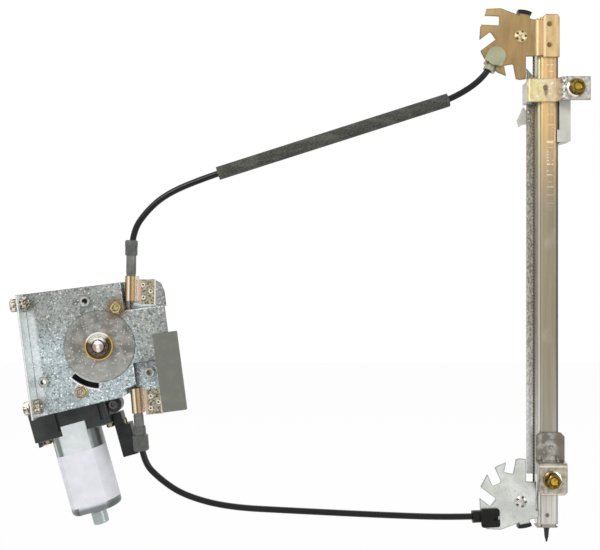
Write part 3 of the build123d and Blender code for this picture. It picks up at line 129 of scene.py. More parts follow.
class Finish:
    """A material being mixed: its shader, its object coordinates and its noises."""

    def __init__(self, name, metallic=0.0, roughness=0.5):
        self.material = bpy.data.materials.new(name)
        self.material.use_nodes = True
        self.tree = self.material.node_tree
        self.shader = self.tree.nodes["Principled BSDF"]
        self.set(Metallic=metallic, Roughness=roughness)
        self.place = Tone(self.tree.nodes.new("ShaderNodeTexCoord").outputs["Object"])

    def set(self, **sockets):
        """Link or set the shader's sockets, their names written with underscores."""
        for name, value in sockets.items():
            target = self.shader.inputs[name.replace("_", " ")]
            if isinstance(value, Tone):
                self.tree.links.new(value.socket, target)
            else:
                target.default_value = value

    def vector(self, operation, first, second=(0, 0, 0), output=0):
        """Sum on two vectors, or with output 1 the single value that it gives."""
        settings = {"operation": operation}
        return self.place.node("ShaderNodeVectorMath", settings, {0: first, 1: second}, output)

    def along(self, direction, centre=(0, 0, 0)):
        """Distance along a direction from a centre, in metres."""
        offset = self.vector("SUBTRACT", self.place, centre)
        return self.vector("DOT_PRODUCT", offset, direction, 1)

    def reach(self, centre, axes=(1, 0, 1)):
        """Distance from a centre, counted along the axes given."""
        offset = self.vector("SUBTRACT", self.place, centre)
        return self.vector("LENGTH", self.vector("MULTIPLY", offset, axes), output=1)

    def nearest(self, centres):
        """Distance from whichever of several centres is the nearest."""
        closest = self.reach(centres[0])
        for centre in centres[1:]:
            closest = closest.maths("MINIMUM", closest, self.reach(centre))
        return closest

    def noise(self, size, detail=3.0, stretch=(1, 1, 1)):
        """Noise from 0 to 1 whose blotches are about one size across, in metres."""
        scaled = self.vector("MULTIPLY", self.place, stretch)
        sockets = {"Vector": scaled, "Scale": 1 / size, "Detail": detail, "Roughness": 0.55}
        return self.place.node("ShaderNodeTexNoise", {}, sockets)

    def grains(self, size):
        """A random value from 0 to 1 in each crystal of one size, in metres."""
        sockets = {"Vector": self.place, "Scale": 1 / size}
        colour = self.place.node("ShaderNodeTexVoronoi", {}, sockets, "Color")
        return self.place.node("ShaderNodeSeparateColor", {}, {0: colour})

    def edges(self, radius):
        """1 within a radius of a convex or concave edge, 0 on open faces."""
        rounded = self.place.node("ShaderNodeBevel", {"samples": 6}, {"Radius": radius})
        flat = Tone(self.tree.nodes.new("ShaderNodeNewGeometry").outputs["Normal"])
        lean = 1 - self.vector("DOT_PRODUCT", rounded, flat, 1)
        return lean.step(0.004, 0.07)

    def relief(self, height, depth):
        """Bump of a height from 0 to 1, its depth in metres."""
        sockets = {"Height": height, "Distance": depth, "Strength": 1.0}
        self.set(Normal=self.place.node("ShaderNodeBump", {}, sockets))


FACET_GAP = 0.000002
CREASE_ANGLE = math.radians(32)


def dress(finish, *names):
    """Give CAD nodes one material, with their facets welded and smoothed up to a crease."""
    for name in names:
        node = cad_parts[name]
        node.data.materials.clear()
        node.data.materials.append(finish.material)
        node.modifiers.new("weld", "WELD").merge_threshold = FACET_GAP
        node.modifiers.new("crease", "EDGE_SPLIT").split_angle = CREASE_ANGLE
        node.data.shade_smooth()


rail = Finish("rail zinc", metallic=0.7)
height = rail.along((0, 0, 1))
across = rail.along((1, 0, 0))
above_foot = height.step(0.0, 0.14)
at_top = height.step(0.20, 0.30)
past_flange = across.step(-0.0088, -0.0076)
past_left_shoulder = across.step(-0.0070, -0.0046)
past_right_shoulder = across.step(0.0012, 0.0062)
# Painted shade lies along the rail's right edge.
right_edge_shade = across.step(0.0058, 0.0070)


def shaded_bands(left, middle, right, edge):
    """Colour across the rail's front, from its left shoulder to its right edge, in painted light and
    shade.
    """
    front = past_right_shoulder.blend(past_left_shoulder.blend(left, middle), right)
    return front.under(right_edge_shade, edge)


# The web is painted in bands of light and shade across it and turns yellow towards its top.
top_bands = shaded_bands((214, 208, 170), (228, 192, 132), (206, 164, 120), (86, 84, 62))
middle_bands = shaded_bands((192, 185, 171), (156, 145, 121), (134, 126, 108), (72, 70, 56))
foot_bands = shaded_bands((220, 221, 214), (156, 153, 140), (186, 186, 180), (106, 106, 98))
web = at_top.blend(above_foot.blend(foot_bands, middle_bands), top_bands)
roll_marks = rail.noise(0.0022, 5.0, stretch=(1, 1, 0.02)).step(0.42, 0.66)
web = web.under(0.30 * roll_marks, (118, 106, 86))
scuffs = rail.noise(0.016, 5.0, stretch=(1, 1, 0.5)).step(0.55, 0.72)
web = web.under(0.30 * scuffs, (196, 192, 176))

# The flange is paler, and gritty where it was cut.
flange = at_top.blend(above_foot.blend((255, 255, 255), (206, 202, 190)), (190, 182, 164))
grit = rail.noise(0.0016, 5.0, stretch=(1, 1, 0.5))
dark_grit = (0.15 + 0.55 * above_foot) * grit.step(0.46, 0.56)
flange = flange.under(dark_grit, (96, 92, 80))
flange = flange.under(0.8 * grit.step(0.60, 0.66), (250, 250, 246))
strip = past_flange.blend(flange, web)

# Short scratches lie across the web at its top, and the foot is rubbed, dented and folded.
scratches = rail.noise(0.0016, 2.0, stretch=(0.03, 0.03, 1)).step(0.55, 0.61)
scratches = scratches * across.step(-0.002, -0.001)
scratches = scratches * rail.noise(0.005, 2.0, stretch=(1, 1, 0.6)).step(0.44, 0.50)
scratches = scratches * (1 - across.step(0.003, 0.004)) * height.step(0.2, 0.24)
strip = strip.under(0.75 * scratches, (252, 236, 202))
below_tab = 1 - height.step(-0.016, -0.010)
strip = strip.under(below_tab * (0.35 + 0.5 * roll_marks), (240, 238, 232))
FOOT_DENT = (-0.0011, 0, -0.0297)
from_dent = rail.reach(FOOT_DENT) + 0.0012 * rail.noise(0.002)
strip = strip.under(0.9 * (1 - from_dent.step(0.0016, 0.0028)), (92, 88, 80))
folded_foot = 1 - height.step(-0.0372, -0.0362)
strip = strip.under(0.7 * folded_foot, (132, 124, 110))
# Painted shade darkens the rail's edges.
strip = strip.under(0.6 * rail.edges(0.0009), (84, 78, 62))
rolled_grain = rail.noise(0.0012, 4.0, stretch=(1, 1, 0.04))
rail.set(Base_Color=strip, Roughness=0.24 + 0.22 * rolled_grain)
rail.relief(rolled_grain + 0.6 * rail.noise(0.006, 4.0), 0.00006)
dress(rail, "guide_rail")


# ---- End-stop buffer ----
# A black rubber buffer sits in the channel above the folded foot. It was pulled through the foot's
# hole by its tapered tail, which is left on.
def rubber(name, colour, worn, size=0.002, roughness=0.7):
    """Dull rubber, felt or carbon with a little bloom."""
    finish = Finish(name, metallic=0.0, roughness=roughness)
    bloom = finish.noise(size, 5.0).step(0.45, 0.75)
    finish.set(Base_Color=bloom.blend(colour, worn), Roughness=roughness - 0.1 + 0.2 * bloom)
    finish.relief(finish.noise(size / 4, 4.0), 0.00004)
    return finish


dress(rubber("buffer rubber", (26, 26, 26), (52, 52, 50)), "end_stop_buffer")


# ---- Fan plates ----
# Each end of the rail carries a fan-shaped pressed plate with four slots for the conduit's end. The
# upper one is yellow-passivated and the lower one clear. Two clinch dimples join each to the web.
def zinc_coat(name, size, roughness, metallic=0.75):
    """Plated metal before its colour: the uneven gloss and fine relief of its coat."""
    finish = Finish(name, metallic=metallic, roughness=roughness)
    finish.set(Roughness=roughness - 0.06 + 0.16 * finish.noise(size))
    finish.relief(finish.noise(size / 2, 4.0), 0.00003)
    return finish


def plated(name, bright, dull, dark, size=0.004, roughness=0.34, metallic=0.75, edge=0.0011):
    """Plated metal: a clouded coat of two colours, dark specks and painted shade on its edges."""
    finish = zinc_coat(name, size=size, roughness=roughness, metallic=metallic)
    coat = finish.noise(size * 3).step(0.35, 0.68).blend(bright, dull)
    coat = coat.under(0.35 * finish.noise(size / 3, 4.0).step(0.56, 0.72), dark)
    # Painted shade darkens the edges.
    finish.set(Base_Color=coat.under(0.75 * finish.edges(edge), dark))
    return finish


upper_fan = zinc_coat("yellow zinc", size=0.006, roughness=0.36)
fan_across = upper_fan.along((1, 0, 0))
past_bend = fan_across.step(-0.0050, -0.0040)
brushed = upper_fan.noise(0.004, 4.0, stretch=(1, 1, 0.25)).step(0.3, 0.75)
FAN_CORNER = (-0.050, 0, 0.366)
near_corner = 1 - upper_fan.reach(FAN_CORNER).step(0.0, 0.03)
plate = brushed.blend((172, 142, 96), (150, 124, 86))
plate = plate.under(0.5 * near_corner, (206, 184, 132))
# Painted light and shade across the joggle's bend, and a painted highlight on the tab.
bend_highlight = fan_across.step(-0.0106, -0.0098) * (1 - fan_across.step(-0.0088, -0.0080))
plate = plate.under(0.8 * bend_highlight, (226, 196, 150))
bend_shadow = fan_across.step(-0.0084, -0.0078) * (1 - fan_across.step(-0.0070, -0.0062))
plate = plate.under(0.6 * bend_shadow, (140, 106, 70))
plate = plate.under(0.8 * fan_across.step(-0.0068, -0.0060), (206, 166, 122))
tab = brushed.blend((224, 194, 142), (196, 166, 118))
yellow_coat = past_bend.blend(plate, tab)
tab_gleam = fan_across.step(-0.0048, -0.0042) * (1 - fan_across.step(-0.0030, -0.0022))
yellow_coat = yellow_coat.under(0.8 * tab_gleam, (242, 222, 176))
CLINCH_DIMPLES = ((0.0002, 0, 0.3532), (0.0002, 0, 0.3369))
dimples = 1 - upper_fan.nearest(CLINCH_DIMPLES).step(0.0010, 0.0022)
yellow_coat = yellow_coat.under(0.7 * dimples, (96, 76, 40))
# Painted shade darkens the fan's edges.
upper_fan.set(Base_Color=yellow_coat.under(0.7 * upper_fan.edges(0.0014), (76, 62, 42)))
dress(upper_fan, "upper_pulley_bracket")

lower_fan = plated(
    "clear zinc", (224, 228, 222), (200, 203, 196), (96, 98, 92),
    size=0.005, roughness=0.30, metallic=0.75, edge=0.0016,
)
dress(lower_fan, "lower_pulley_bracket")


# ---- Pulleys, rivets and washers ----
# A natural nylon pulley turns on a staked steel rivet behind each fan plate, spaced by a steel
# washer. The rivet's front head is staked in five petals.
def moulded(name, colour, shadow, size=0.003, roughness=0.42, relief=0.00002, edge_highlight=None):
    """Injection-moulded plastic: flow clouds, a fine spark-eroded grain, perhaps painted edge
    highlights.
    """
    finish = Finish(name, metallic=0.0, roughness=roughness)
    skin = finish.noise(size * 3, 3.0).step(0.3, 0.75).blend(colour, shadow)
    if edge_highlight:
        # Painted highlights lighten the edges.
        skin = skin.under(0.5 * finish.edges(0.0006), edge_highlight)
    gloss = roughness - 0.08 + 0.16 * finish.noise(size)
    finish.set(Base_Color=skin, Roughness=gloss)
    finish.relief(finish.noise(size / 6, 3.0), relief)
    return finish


nylon = moulded("natural nylon", (224, 222, 208), (206, 203, 186))
nylon.set(Subsurface_Weight=0.15, Subsurface_Scale=0.002)
dress(nylon, "upper_pulley", "lower_pulley")

rivet = Finish("rivet steel", metallic=0.75, roughness=0.24)
RIVETS = ((-0.0219, 0.3438), (-0.0219, -0.0190))
PETAL_REACH = 0.0036
petal_notches = []
for rivet_x, rivet_z in RIVETS:
    for turn in (math.radians(72 * k) for k in range(5)):
        notch_x = rivet_x + PETAL_REACH * math.cos(turn)
        notch_z = rivet_z - PETAL_REACH * math.sin(turn)
        petal_notches.append((notch_x, 0, notch_z))
near_notch = 1 - rivet.nearest(petal_notches).step(0.0007, 0.0013)
hammered = rivet.noise(0.0012, 4.0).step(0.35, 0.65)
silver = hammered.blend((236, 236, 230), (150, 148, 138))
gilt = hammered.blend((240, 222, 176), (160, 134, 88))
petals = rivet.along((0, 0, 1)).step(0.1, 0.2).blend(silver, gilt)
rivet.set(
    Base_Color=petals.under(0.85 * near_notch, (58, 48, 34)),
    Roughness=0.18 + 0.16 * rivet.noise(0.0016),
)
rivet.relief(rivet.noise(0.0007, 3.0), 0.00012)
dress(rivet, "pulley_rivets")
washer = plated("washer steel", (180, 180, 176), (150, 150, 146), (90, 90, 88))
dress(washer, "pulley_washers")


# ---- Cable guards ----
# A black nylon keeper stands behind each fan plate and holds the cable in the pulley's groove. It is
# an injection moulding, curved round the pulley's rim.
black = moulded("black nylon", (14, 14, 14), (26, 26, 25))
black.set(Specular_IOR_Level=0.3)
dress(black, "cable_guards")


# ---- Conduit fittings ----
# Each conduit ends in a moulded fitting that clips into a fan slot. The upper one is of green-grey
# nylon, the lower one black with a fork that shows the cable's seat.
upper_fitting = moulded(
    "green-grey nylon", (176, 176, 146), (146, 150, 122),
    size=0.004, roughness=0.36,
)
upper_fitting.set(Subsurface_Weight=0.25, Subsurface_Scale=0.003)
dress(upper_fitting, "upper_conduit_fitting")
lower_fitting = moulded("fitting black", (16, 16, 14), (28, 28, 24), size=0.003, roughness=0.45)
lower_fitting.set(Specular_IOR_Level=0.22)
dress(lower_fitting, "lower_conduit_fitting")


# ---- Cables ----
# Galvanised wire rope of 1.6 mm runs taut down the rail, and from each ferrule to the drum and
# round it. It is laid from strands, which cross it at a slant.
STRAND_WAVE = 3600  # radians in a metre


def wire_rope(name, direction):
    """Wire rope whose strands cross a direction at a steady slant."""
    finish = Finish(name, metallic=0.9, roughness=0.38)
    twist = finish.along(direction) * STRAND_WAVE
    strands = twist.maths("SINE", twist)
    finish.set(Base_Color=strands.step(-0.9, 0.6).blend((52, 46, 38), (116, 108, 96)))
    finish.relief(strands * 0.5 + 0.5, 0.00012)
    return finish


dress(wire_rope("rail cable", (0.5, 0.5, 0.7)), "rail_cable")
drum_rope = wire_rope("drum cable", (0.7, 0.4, 0.6))
dress(drum_rope, "upper_drum_cable", "lower_drum_cable", "drum_cable_wraps")


# ---- Fixing brackets ----
# Two plated steel brackets are joined to the rail. The upper clip wraps its front and carries a
# joggled tab on the right, and the lower one steps forward to its tab between two pressed gussets.
clip = zinc_coat("clip zinc", size=0.004, roughness=0.32)
clip_across = clip.along((1, 0, 0))
patches = clip.noise(0.0022, 4.0)
wrap_zinc = clip_across.step(-0.006, -0.003).blend((230, 215, 162), (230, 208, 172))
wrap_zinc = wrap_zinc.under(0.8 * patches.step(0.60, 0.66), (255, 252, 240))
rubbed = clip.noise(0.0024, 4.0, stretch=(1, 1, 0.4)).step(0.4, 0.66)
wrap_zinc = wrap_zinc.under(0.35 * rubbed, (170, 150, 108))
CLIP_STAIN = (-0.0026, 0, 0.3016)
off_stain = clip.reach(CLIP_STAIN, axes=(1.5, 0, 0.55)).step(0.0014, 0.0036)
wrap_zinc = wrap_zinc.under(0.75 * (1 - off_stain), (116, 92, 82))
tab_zinc = clip.noise(0.003, 5.0).step(0.35, 0.65).blend((206, 205, 196), (160, 157, 146))
joggle = clip_across.step(0.0070, 0.0082) * (1 - clip_across.step(0.0112, 0.0124))
joggle_zinc = patches.step(0.44, 0.56).blend((224, 222, 214), (112, 106, 96))
tab_zinc = tab_zinc.under(0.9 * joggle, joggle_zinc)
clip_zinc = clip_across.step(0.0045, 0.0085).blend(wrap_zinc, tab_zinc)
# Painted shade darkens the clip's edges.
clip.set(Base_Color=clip_zinc.under(0.55 * clip.edges(0.0014), (92, 84, 66)))
dress(clip, "upper_fixing_bracket")

step_bracket = zinc_coat("tab zinc", size=0.004, roughness=0.28)
step_rise = step_bracket.along((0, 0, 1))
step_across = step_bracket.along((1, 0, 0))
step_mottle = step_bracket.noise(0.009, 5.0).step(0.4, 0.6)
riser_zinc = step_mottle.blend((182, 180, 172), (120, 114, 104))
riser_zinc = riser_zinc.under(0.6 * step_across.step(0.002, 0.008), (124, 114, 100))
RISER_MIDDLE = (0, 0, 0.022)
dots = step_bracket.noise(0.0016, 4.0).step(0.62, 0.68)
dots = dots * (1 - step_bracket.reach(RISER_MIDDLE).step(0.004, 0.008))
riser_zinc = riser_zinc.under(0.9 * dots, (246, 244, 236))
gussets = abs(step_bracket.along((1, 0, 0), (-0.0012, 0, 0))).step(0.0050, 0.0100)
riser_zinc = riser_zinc.under(0.7 * gussets, (112, 104, 90))
front_mottle = step_bracket.noise(0.004, 4.0).step(0.35, 0.7)
front_zinc = front_mottle.blend((190, 184, 168), (132, 126, 108))
# Painted highlights lie along the front's two rolled bends.
lower_bend_highlight = (1 - step_rise.step(-0.0108, -0.0103)) * step_rise.step(-0.0118, -0.0113)
upper_bend_highlight = step_rise.step(0.0094, 0.0099) * (1 - step_rise.step(0.0108, 0.0113))
front_zinc = front_zinc.under(0.85 * (lower_bend_highlight + upper_bend_highlight), (238, 220, 202))
step_zinc = step_rise.step(0.010, 0.014).blend(front_zinc, riser_zinc)
# Painted shade darkens the bracket's edges.
step_bracket.set(Base_Color=step_zinc.under(0.55 * step_bracket.edges(0.0014), (78, 72, 60)))
dress(step_bracket, "lower_fixing_bracket")


# ---- Rail bolts and weld nuts ----
# M6 flange bolts with a strong yellow chromate, whose film shows green where it is thin. Each
# flange carries a painted highlight on one side. They screw into hexagon nuts welded behind the tabs.
UPPER_BOLT = (0.0183, 0.0, 0.3018)
LOWER_BOLT = (0, 0, 0)
bolt = Finish("bolt chromate", metallic=0.9, roughness=0.2)
bolt_out = bolt.nearest((UPPER_BOLT, LOWER_BOLT))
film = bolt.noise(0.003, 3.0).step(0.35, 0.65)
brass_film = film.blend((214, 172, 70), (150, 128, 46))
olive_film = film.blend((150, 122, 50), (88, 78, 34))
to_upper_light = bolt.along((-0.8, 0, -0.6), UPPER_BOLT)
to_lower_light = bolt.along((0.97, 0, 0.25))
on_upper_bolt = bolt.along((0, 0, 1)).step(0.1, 0.2)
to_light = to_lower_light + on_upper_bolt * (to_upper_light - to_lower_light)
# Painted highlight on the flange, on the side towards the light.
flange_highlight = to_light.step(0.0015, 0.0045).blend((128, 104, 66), (250, 240, 228))
chromate = brass_film.under(bolt_out.step(0.0026, 0.0031), (58, 46, 20))
chromate = chromate.under(bolt_out.step(0.0033, 0.0037), olive_film)
chromate = chromate.under(bolt_out.step(0.0052, 0.0055), (48, 40, 24))
chromate = chromate.under(bolt_out.step(0.0058, 0.0062), flange_highlight)
bolt.set(Base_Color=chromate, Roughness=0.14 + 0.2 * bolt.noise(0.001))
bolt.relief(bolt.noise(0.0012, 3.0), 0.00006)
dress(bolt, "rail_fixing_bolts")
weld_nut = plated("nut steel", (176, 172, 160), (140, 134, 120), (84, 78, 68), size=0.003)
dress(weld_nut, "rail_weld_nuts")


# ---- Carrier ----
# The carrier is a white nylon moulding that slides on the rail and holds both cable nipples. A brass
# insert in its back takes the glass clamp's screw.
slider = moulded("carrier nylon", (212, 212, 205), (196, 196, 188), size=0.006, roughness=0.4)
slider.set(Subsurface_Weight=0.2, Subsurface_Scale=0.003)
dress(slider, "carrier")
nipple = plated("cast zinc", (120, 120, 120), (90, 90, 92), (50, 50, 52), size=0.002)
dress(nipple, "cable_nipples")
insert = plated(
    "brass", (206, 172, 98), (186, 150, 80), (120, 92, 48),
    size=0.003, roughness=0.28, metallic=0.95,
)
dress(insert, "glass_insert")


# ---- Conduits ----
# The two conduits are 5 mm sheaths of glossy black polymer over wound wire. Both are stiff, held by
# their ferrules at the drum and by their fittings at the rail.
CONDUIT_DIAMETER = 0.005
CONDUIT_DEPTH = 0.0148
UPPER_ROUTE = (
    (-0.3265, 0.1700),
    (-0.32626, 0.1905),
    (-0.3138, 0.2088),
    (-0.2970, 0.2225),
    (-0.2670, 0.23465),
    (-0.2380, 0.2438),
    (-0.1000, 0.2881),
    (-0.0725, 0.2968),
    (-0.0478, 0.3137),
    (-0.0421, 0.3265),
)
LOWER_ROUTE = (
    (-0.3194, 0.0310),
    (-0.3176, 0.0115),
    (-0.3032, -0.0032),
    (-0.2845, -0.0155),
    (-0.2510, -0.0246),
    (-0.2000, -0.0273),
    (-0.1350, -0.0305),
    (-0.0750, -0.0327),
    (-0.0454, -0.0314),
)
polymer = moulded("conduit polymer", (4, 4, 4), (8, 8, 8), size=0.004, roughness=0.22)
polymer.set(Specular_IOR_Level=0.3)


def sheath(conduit, route):
    """Conduit as a smooth curve from its ferrule to its fitting."""
    curve = bpy.data.curves.new(f"{conduit}_sheath", "CURVE")
    curve.dimensions = "3D"
    curve.bevel_depth = CONDUIT_DIAMETER / 2
    curve.bevel_resolution = 6
    curve.resolution_u = 16
    curve.use_fill_caps = True
    line = curve.splines.new("NURBS")
    line.points.add(len(route) - 1)
    for point, (x, z) in zip(line.points, route):
        point.co = (x, CONDUIT_DEPTH, z, 1.0)
    line.order_u = 3
    line.use_endpoint_u = True
    curve.materials.append(polymer.material)
    made = bpy.data.objects.new(f"{conduit}_sheath", curve)
    bpy.context.scene.collection.objects.link(made)
    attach(made, "frame")
    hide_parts(conduit)


sheath("upper_conduit", UPPER_ROUTE)
sheath("lower_conduit", LOWER_ROUTE)


# ---- Foam sleeve ----
# A sleeve of dark grey open-cell foam is pushed over the upper conduit to stop it rattling on the
# door panel. Its skin is wrinkled along its length.
foam = Finish("sleeve foam", metallic=0.0, roughness=0.92)
cells = foam.noise(0.0012, 5.0)
wrinkles = foam.noise(0.004, 4.0, stretch=(0.25, 1, 0.8)).step(0.38, 0.66)
raised = cells.step(0.35, 0.7) * 0.6 + 0.4 * wrinkles
foam.set(Base_Color=raised.blend((50, 51, 46), (104, 104, 97)))
foam.relief(cells + wrinkles, 0.0005)
dress(foam, "foam_sleeve")


# ---- Ferrules, boots and clips ----
# A plated ferrule ends each conduit at the drum and a rubber boot covers its mouth. A saddle clip of
# yellow-passivated spring steel holds it in the plate's recess, its foot pressed with three pips.
ferrule = plated(
    "ferrule grey", (120, 120, 116), (96, 96, 92), (60, 60, 58),
    size=0.004, roughness=0.42, metallic=0.6,
)
dress(ferrule, "conduit_ferrules")
boot = rubber("boot rubber", (80, 82, 78), (104, 106, 100), size=0.003, roughness=0.5)
dress(boot, "conduit_boots")

SADDLE_REACH = 0.0048
SADDLE_WIDTH = 0.0160
# Painted highlights and shade across the saddle's arch, from its left edge to its right.
ARCH_LIGHT_AND_SHADE = [
    (0.02, (190, 182, 158)),
    (0.09, (104, 84, 56)),
    (0.16, (196, 176, 132)),
    (0.25, (250, 240, 214)),
    (0.31, (104, 80, 52)),
    (0.40, (184, 158, 118)),
    (0.50, (128, 96, 64)),
    (0.56, (240, 226, 206)),
    (0.66, (214, 188, 170)),
    (0.86, (190, 160, 130)),
]
FOOT_PIPS = (
    (-0.3178, 0, 0.1501),
    (-0.3118, 0, 0.1451),
    (-0.3176, 0, 0.1400),
    (-0.3118, 0, 0.0621),
    (-0.3057, 0, 0.0576),
    (-0.3118, 0, 0.0526),
)
saddle = Finish("saddle zinc", metallic=0.7, roughness=0.2)
off_upper = saddle.along((1, 0, -0.012), (-0.3269, 0, 0.1374))
off_lower = saddle.along((1, 0, 0.0885), (-0.3228, 0, 0.0690))
on_upper_clip = saddle.along((0, 0, 1)).step(0.09, 0.12)
off_axis = off_lower + on_upper_clip * (off_upper - off_lower)
saddle_part = (off_axis + SADDLE_REACH) / SADDLE_WIDTH
arch = saddle.place.node("ShaderNodeValToRGB", {"stops": ARCH_LIGHT_AND_SHADE}, {0: saddle_part})
on_foot = saddle.along((0, 1, 0)).step(0.0170, 0.0176) * off_axis.step(0.0068, 0.0082)
from_pip = saddle.nearest(FOOT_PIPS)
# Painted highlights ring the pressed pips and painted shade fills their hollows.
pip_highlight = from_pip.step(0.0007, 0.0011) * (1 - from_pip.step(0.0015, 0.0019))
pip_shade = 1 - from_pip.step(0.0006, 0.0010)
foot = saddle.noise(0.0018, 4.0).step(0.42, 0.62).blend((182, 174, 152), (104, 96, 78))
foot = foot.under(0.8 * pip_shade, (70, 62, 46))
foot = foot.under(0.9 * pip_highlight, (244, 238, 222))
# Painted highlight on the foot's outer edge.
foot = foot.under(off_axis.step(0.0176, 0.0182), (240, 232, 214))
# Painted shade darkens the clip's edges.
spring_coat = on_foot.blend(arch, foot).under(0.7 * saddle.edges(0.0005), (80, 70, 52))
saddle.set(Base_Color=spring_coat, Roughness=0.16 + 0.2 * saddle.noise(0.001))
saddle.relief(saddle.noise(0.0015, 4.0), 0.00005)
dress(saddle, "ferrule_clips")


# ---- Base plate ----
# The drum and the gearbox are held by a pressed plate of hot-dip galvanised sheet, whose zinc set in
# small bright spangles. Heat and grease have browned the raised disc round the shaft.
DRUM = (-0.3504, 0.0, 0.1022)
PLATE_LEAN = math.radians(-7.5)
plate_turn = Matrix.Translation(DRUM) @ Matrix.Rotation(PLATE_LEAN, 4, "Y")


def plate_way(x, z):
    """Direction given on the plate, as it stands in the door."""
    return tuple(plate_turn.to_3x3() @ Vector((x, 0, z)))


sheet = Finish("spangled zinc", metallic=0.72, roughness=0.3)
plate_right = sheet.along(plate_way(1, 0), DRUM)
plate_up = sheet.along(plate_way(0, 1), DRUM)

# Two sizes of crystal over a clouded coat, then painted shade at top and side, painted light on bends
# and recess.
spangle = sheet.grains(0.0010)
flake = sheet.grains(0.0016)
clouds = sheet.noise(0.022, 4.0).step(0.3, 0.72)
zinc = clouds.blend((142, 154, 158), (190, 204, 206))
zinc = zinc.under(0.45 * flake.step(0.3, 1.0), (112, 118, 120))
zinc = zinc.under(0.55 * spangle.step(0.0, 1.0), (216, 226, 228))
zinc = zinc.under(spangle.step(0.88, 0.94), (244, 250, 250))
zinc = zinc.under(0.6 * sheet.grains(0.0012).step(0.80, 0.90), (84, 88, 88))
# Painted shade darkens and browns the plate towards its top and right.
top_shade = plate_up.step(0.004, 0.026)
side_shade = plate_right.step(0.022, 0.034) * plate_up.step(-0.030, -0.016)
zinc = zinc.under(0.8 * (top_shade + side_shade).held(), (206, 196, 186), "MULTIPLY")
# Painted highlight along the left bend.
left_gleam = plate_right.step(-0.0545, -0.0535) * (1 - plate_right.step(-0.0490, -0.0455))
left_gleam = left_gleam * (1 - plate_up.step(0.030, 0.040))
zinc = zinc.under(left_gleam * (0.25 + 0.8 * sheet.noise(0.003, 4.0)), (250, 254, 255))
# Painted light on the upper recess floor.
recess_light = plate_up.step(0.0236, 0.0262) * plate_right.step(0.0225, 0.0240)
recess_light = recess_light * (1 - plate_right.step(0.0440, 0.0500))
zinc = zinc.under(0.6 * recess_light, (206, 216, 216))
rise = sheet.along((0, 0, 1))
run = sheet.along((1, 0, 0))
# Painted highlight along the recess's lower lip.
recess_lip_highlight = rise.step(0.1334, 0.1338) * (1 - rise.step(0.1352, 0.1356))
recess_lip_highlight = recess_lip_highlight * run.step(-0.3262, -0.3256)
zinc = zinc.under(0.95 * recess_lip_highlight * (1 - run.step(-0.3080, -0.3074)), (250, 254, 254))
# Painted light on the turned-up side's inner face.
turned_side_light = 1 - sheet.along((0, 1, 0)).step(0.0080, 0.0092)
zinc = zinc.under(0.9 * turned_side_light, (248, 252, 252))

# The raised disc round the shaft, with its heat and grease, and painted shade along its rim.
from_shaft = sheet.reach(DRUM)
disc = 1 - from_shaft.step(0.0268, 0.0276)
browned = sheet.noise(0.008, 5.0).step(0.35, 0.66).blend((117, 116, 110), (157, 156, 151))
disc_foot = 1 - plate_up.step(-0.020, -0.006)
browned = browned.under(0.5 * disc_foot, (176, 176, 172))
grease = sheet.noise(0.012, 4.0).step(0.52, 0.68) * (1 - from_shaft.step(0.012, 0.020))
browned = browned.under(0.6 * grease, (142, 108, 76))
browned = browned.under(0.5 * spangle.step(0.9, 0.97), (226, 224, 220))
zinc = disc.blend(zinc, browned)
# Painted shade along the disc's rim.
disc_rim_shade = from_shaft.step(0.0268, 0.0273) * (1 - from_shaft.step(0.0277, 0.0282))
zinc = zinc.under(0.35 * disc_rim_shade, (100, 98, 94))

# Painted highlights on the lips of the louvre under the disc, and the grease spot above it.
LOUVRE_ANGLE = math.radians(241)
louvre_way = plate_way(math.cos(LOUVRE_ANGLE), math.sin(LOUVRE_ANGLE))
near_louvre = (sheet.along(louvre_way, DRUM) / from_shaft).step(0.925, 0.935)
inner_lip_highlight = from_shaft.step(0.0270, 0.0275) * (1 - from_shaft.step(0.0283, 0.0287))
outer_lip_highlight = from_shaft.step(0.0327, 0.0330) * (1 - from_shaft.step(0.0338, 0.0344))
zinc = zinc.under((inner_lip_highlight + outer_lip_highlight) * near_louvre, (250, 252, 252))
grease_spot = tuple(plate_turn @ Vector((0.0171, 0, 0.0280)))
from_spot = sheet.reach(grease_spot) - 0.006 * sheet.noise(0.006, 4.0)
zinc = zinc.under(0.7 * (1 - from_spot.step(0.002, 0.009)), (118, 92, 54))
# Painted shade darkens the plate's edges.
zinc = zinc.under(0.6 * sheet.edges(0.0013), (84, 86, 82))
sheet.set(Base_Color=zinc, Roughness=0.24 + 0.25 * flake)
sheet.relief(flake * 0.6 + spangle, 0.00005)
dress(sheet, "base_plate")


# ---- Edge pad ----
# A matt grey felted pad is glued over the plate's free edge so that it doesn't rattle on the door. It
# is cut to fill the lower recess beside the clip.
felt = rubber("pad felt", (112, 114, 106), (124, 125, 116), size=0.006, roughness=0.9)
dress(felt, "edge_pad")


# ---- Plate fixings ----
# Clinch nuts take the screws of the door panel. Two studs with flanged nuts hold the gearbox, and
# two flange bolts with nuts stand in the turned-up side.
clinch_nut = plated(
    "clinch zinc", (206, 208, 202), (160, 160, 152), (70, 70, 66),
    size=0.0015, roughness=0.24, metallic=0.85, edge=0.0013,
)
dress(clinch_nut, "plate_clinch_nuts")

stud = Finish("stud zinc", metallic=0.85, roughness=0.24)
threads = stud.noise(0.0014, 4.0).step(0.4, 0.6)
upper_stud = threads.blend((196, 182, 112), (104, 92, 48))
lower_stud = threads.blend((222, 208, 200), (122, 104, 94))
stud.set(Base_Color=stud.along((0, 0, 1)).step(0.10, 0.11).blend(lower_stud, upper_stud))
dress(stud, "gearbox_studs")
stud_nut = plated(
    "yellow nut zinc", (214, 198, 156), (160, 136, 92), (64, 50, 30),
    size=0.0018, roughness=0.22, metallic=0.85, edge=0.0013,
)
dress(stud_nut, "gearbox_nuts")

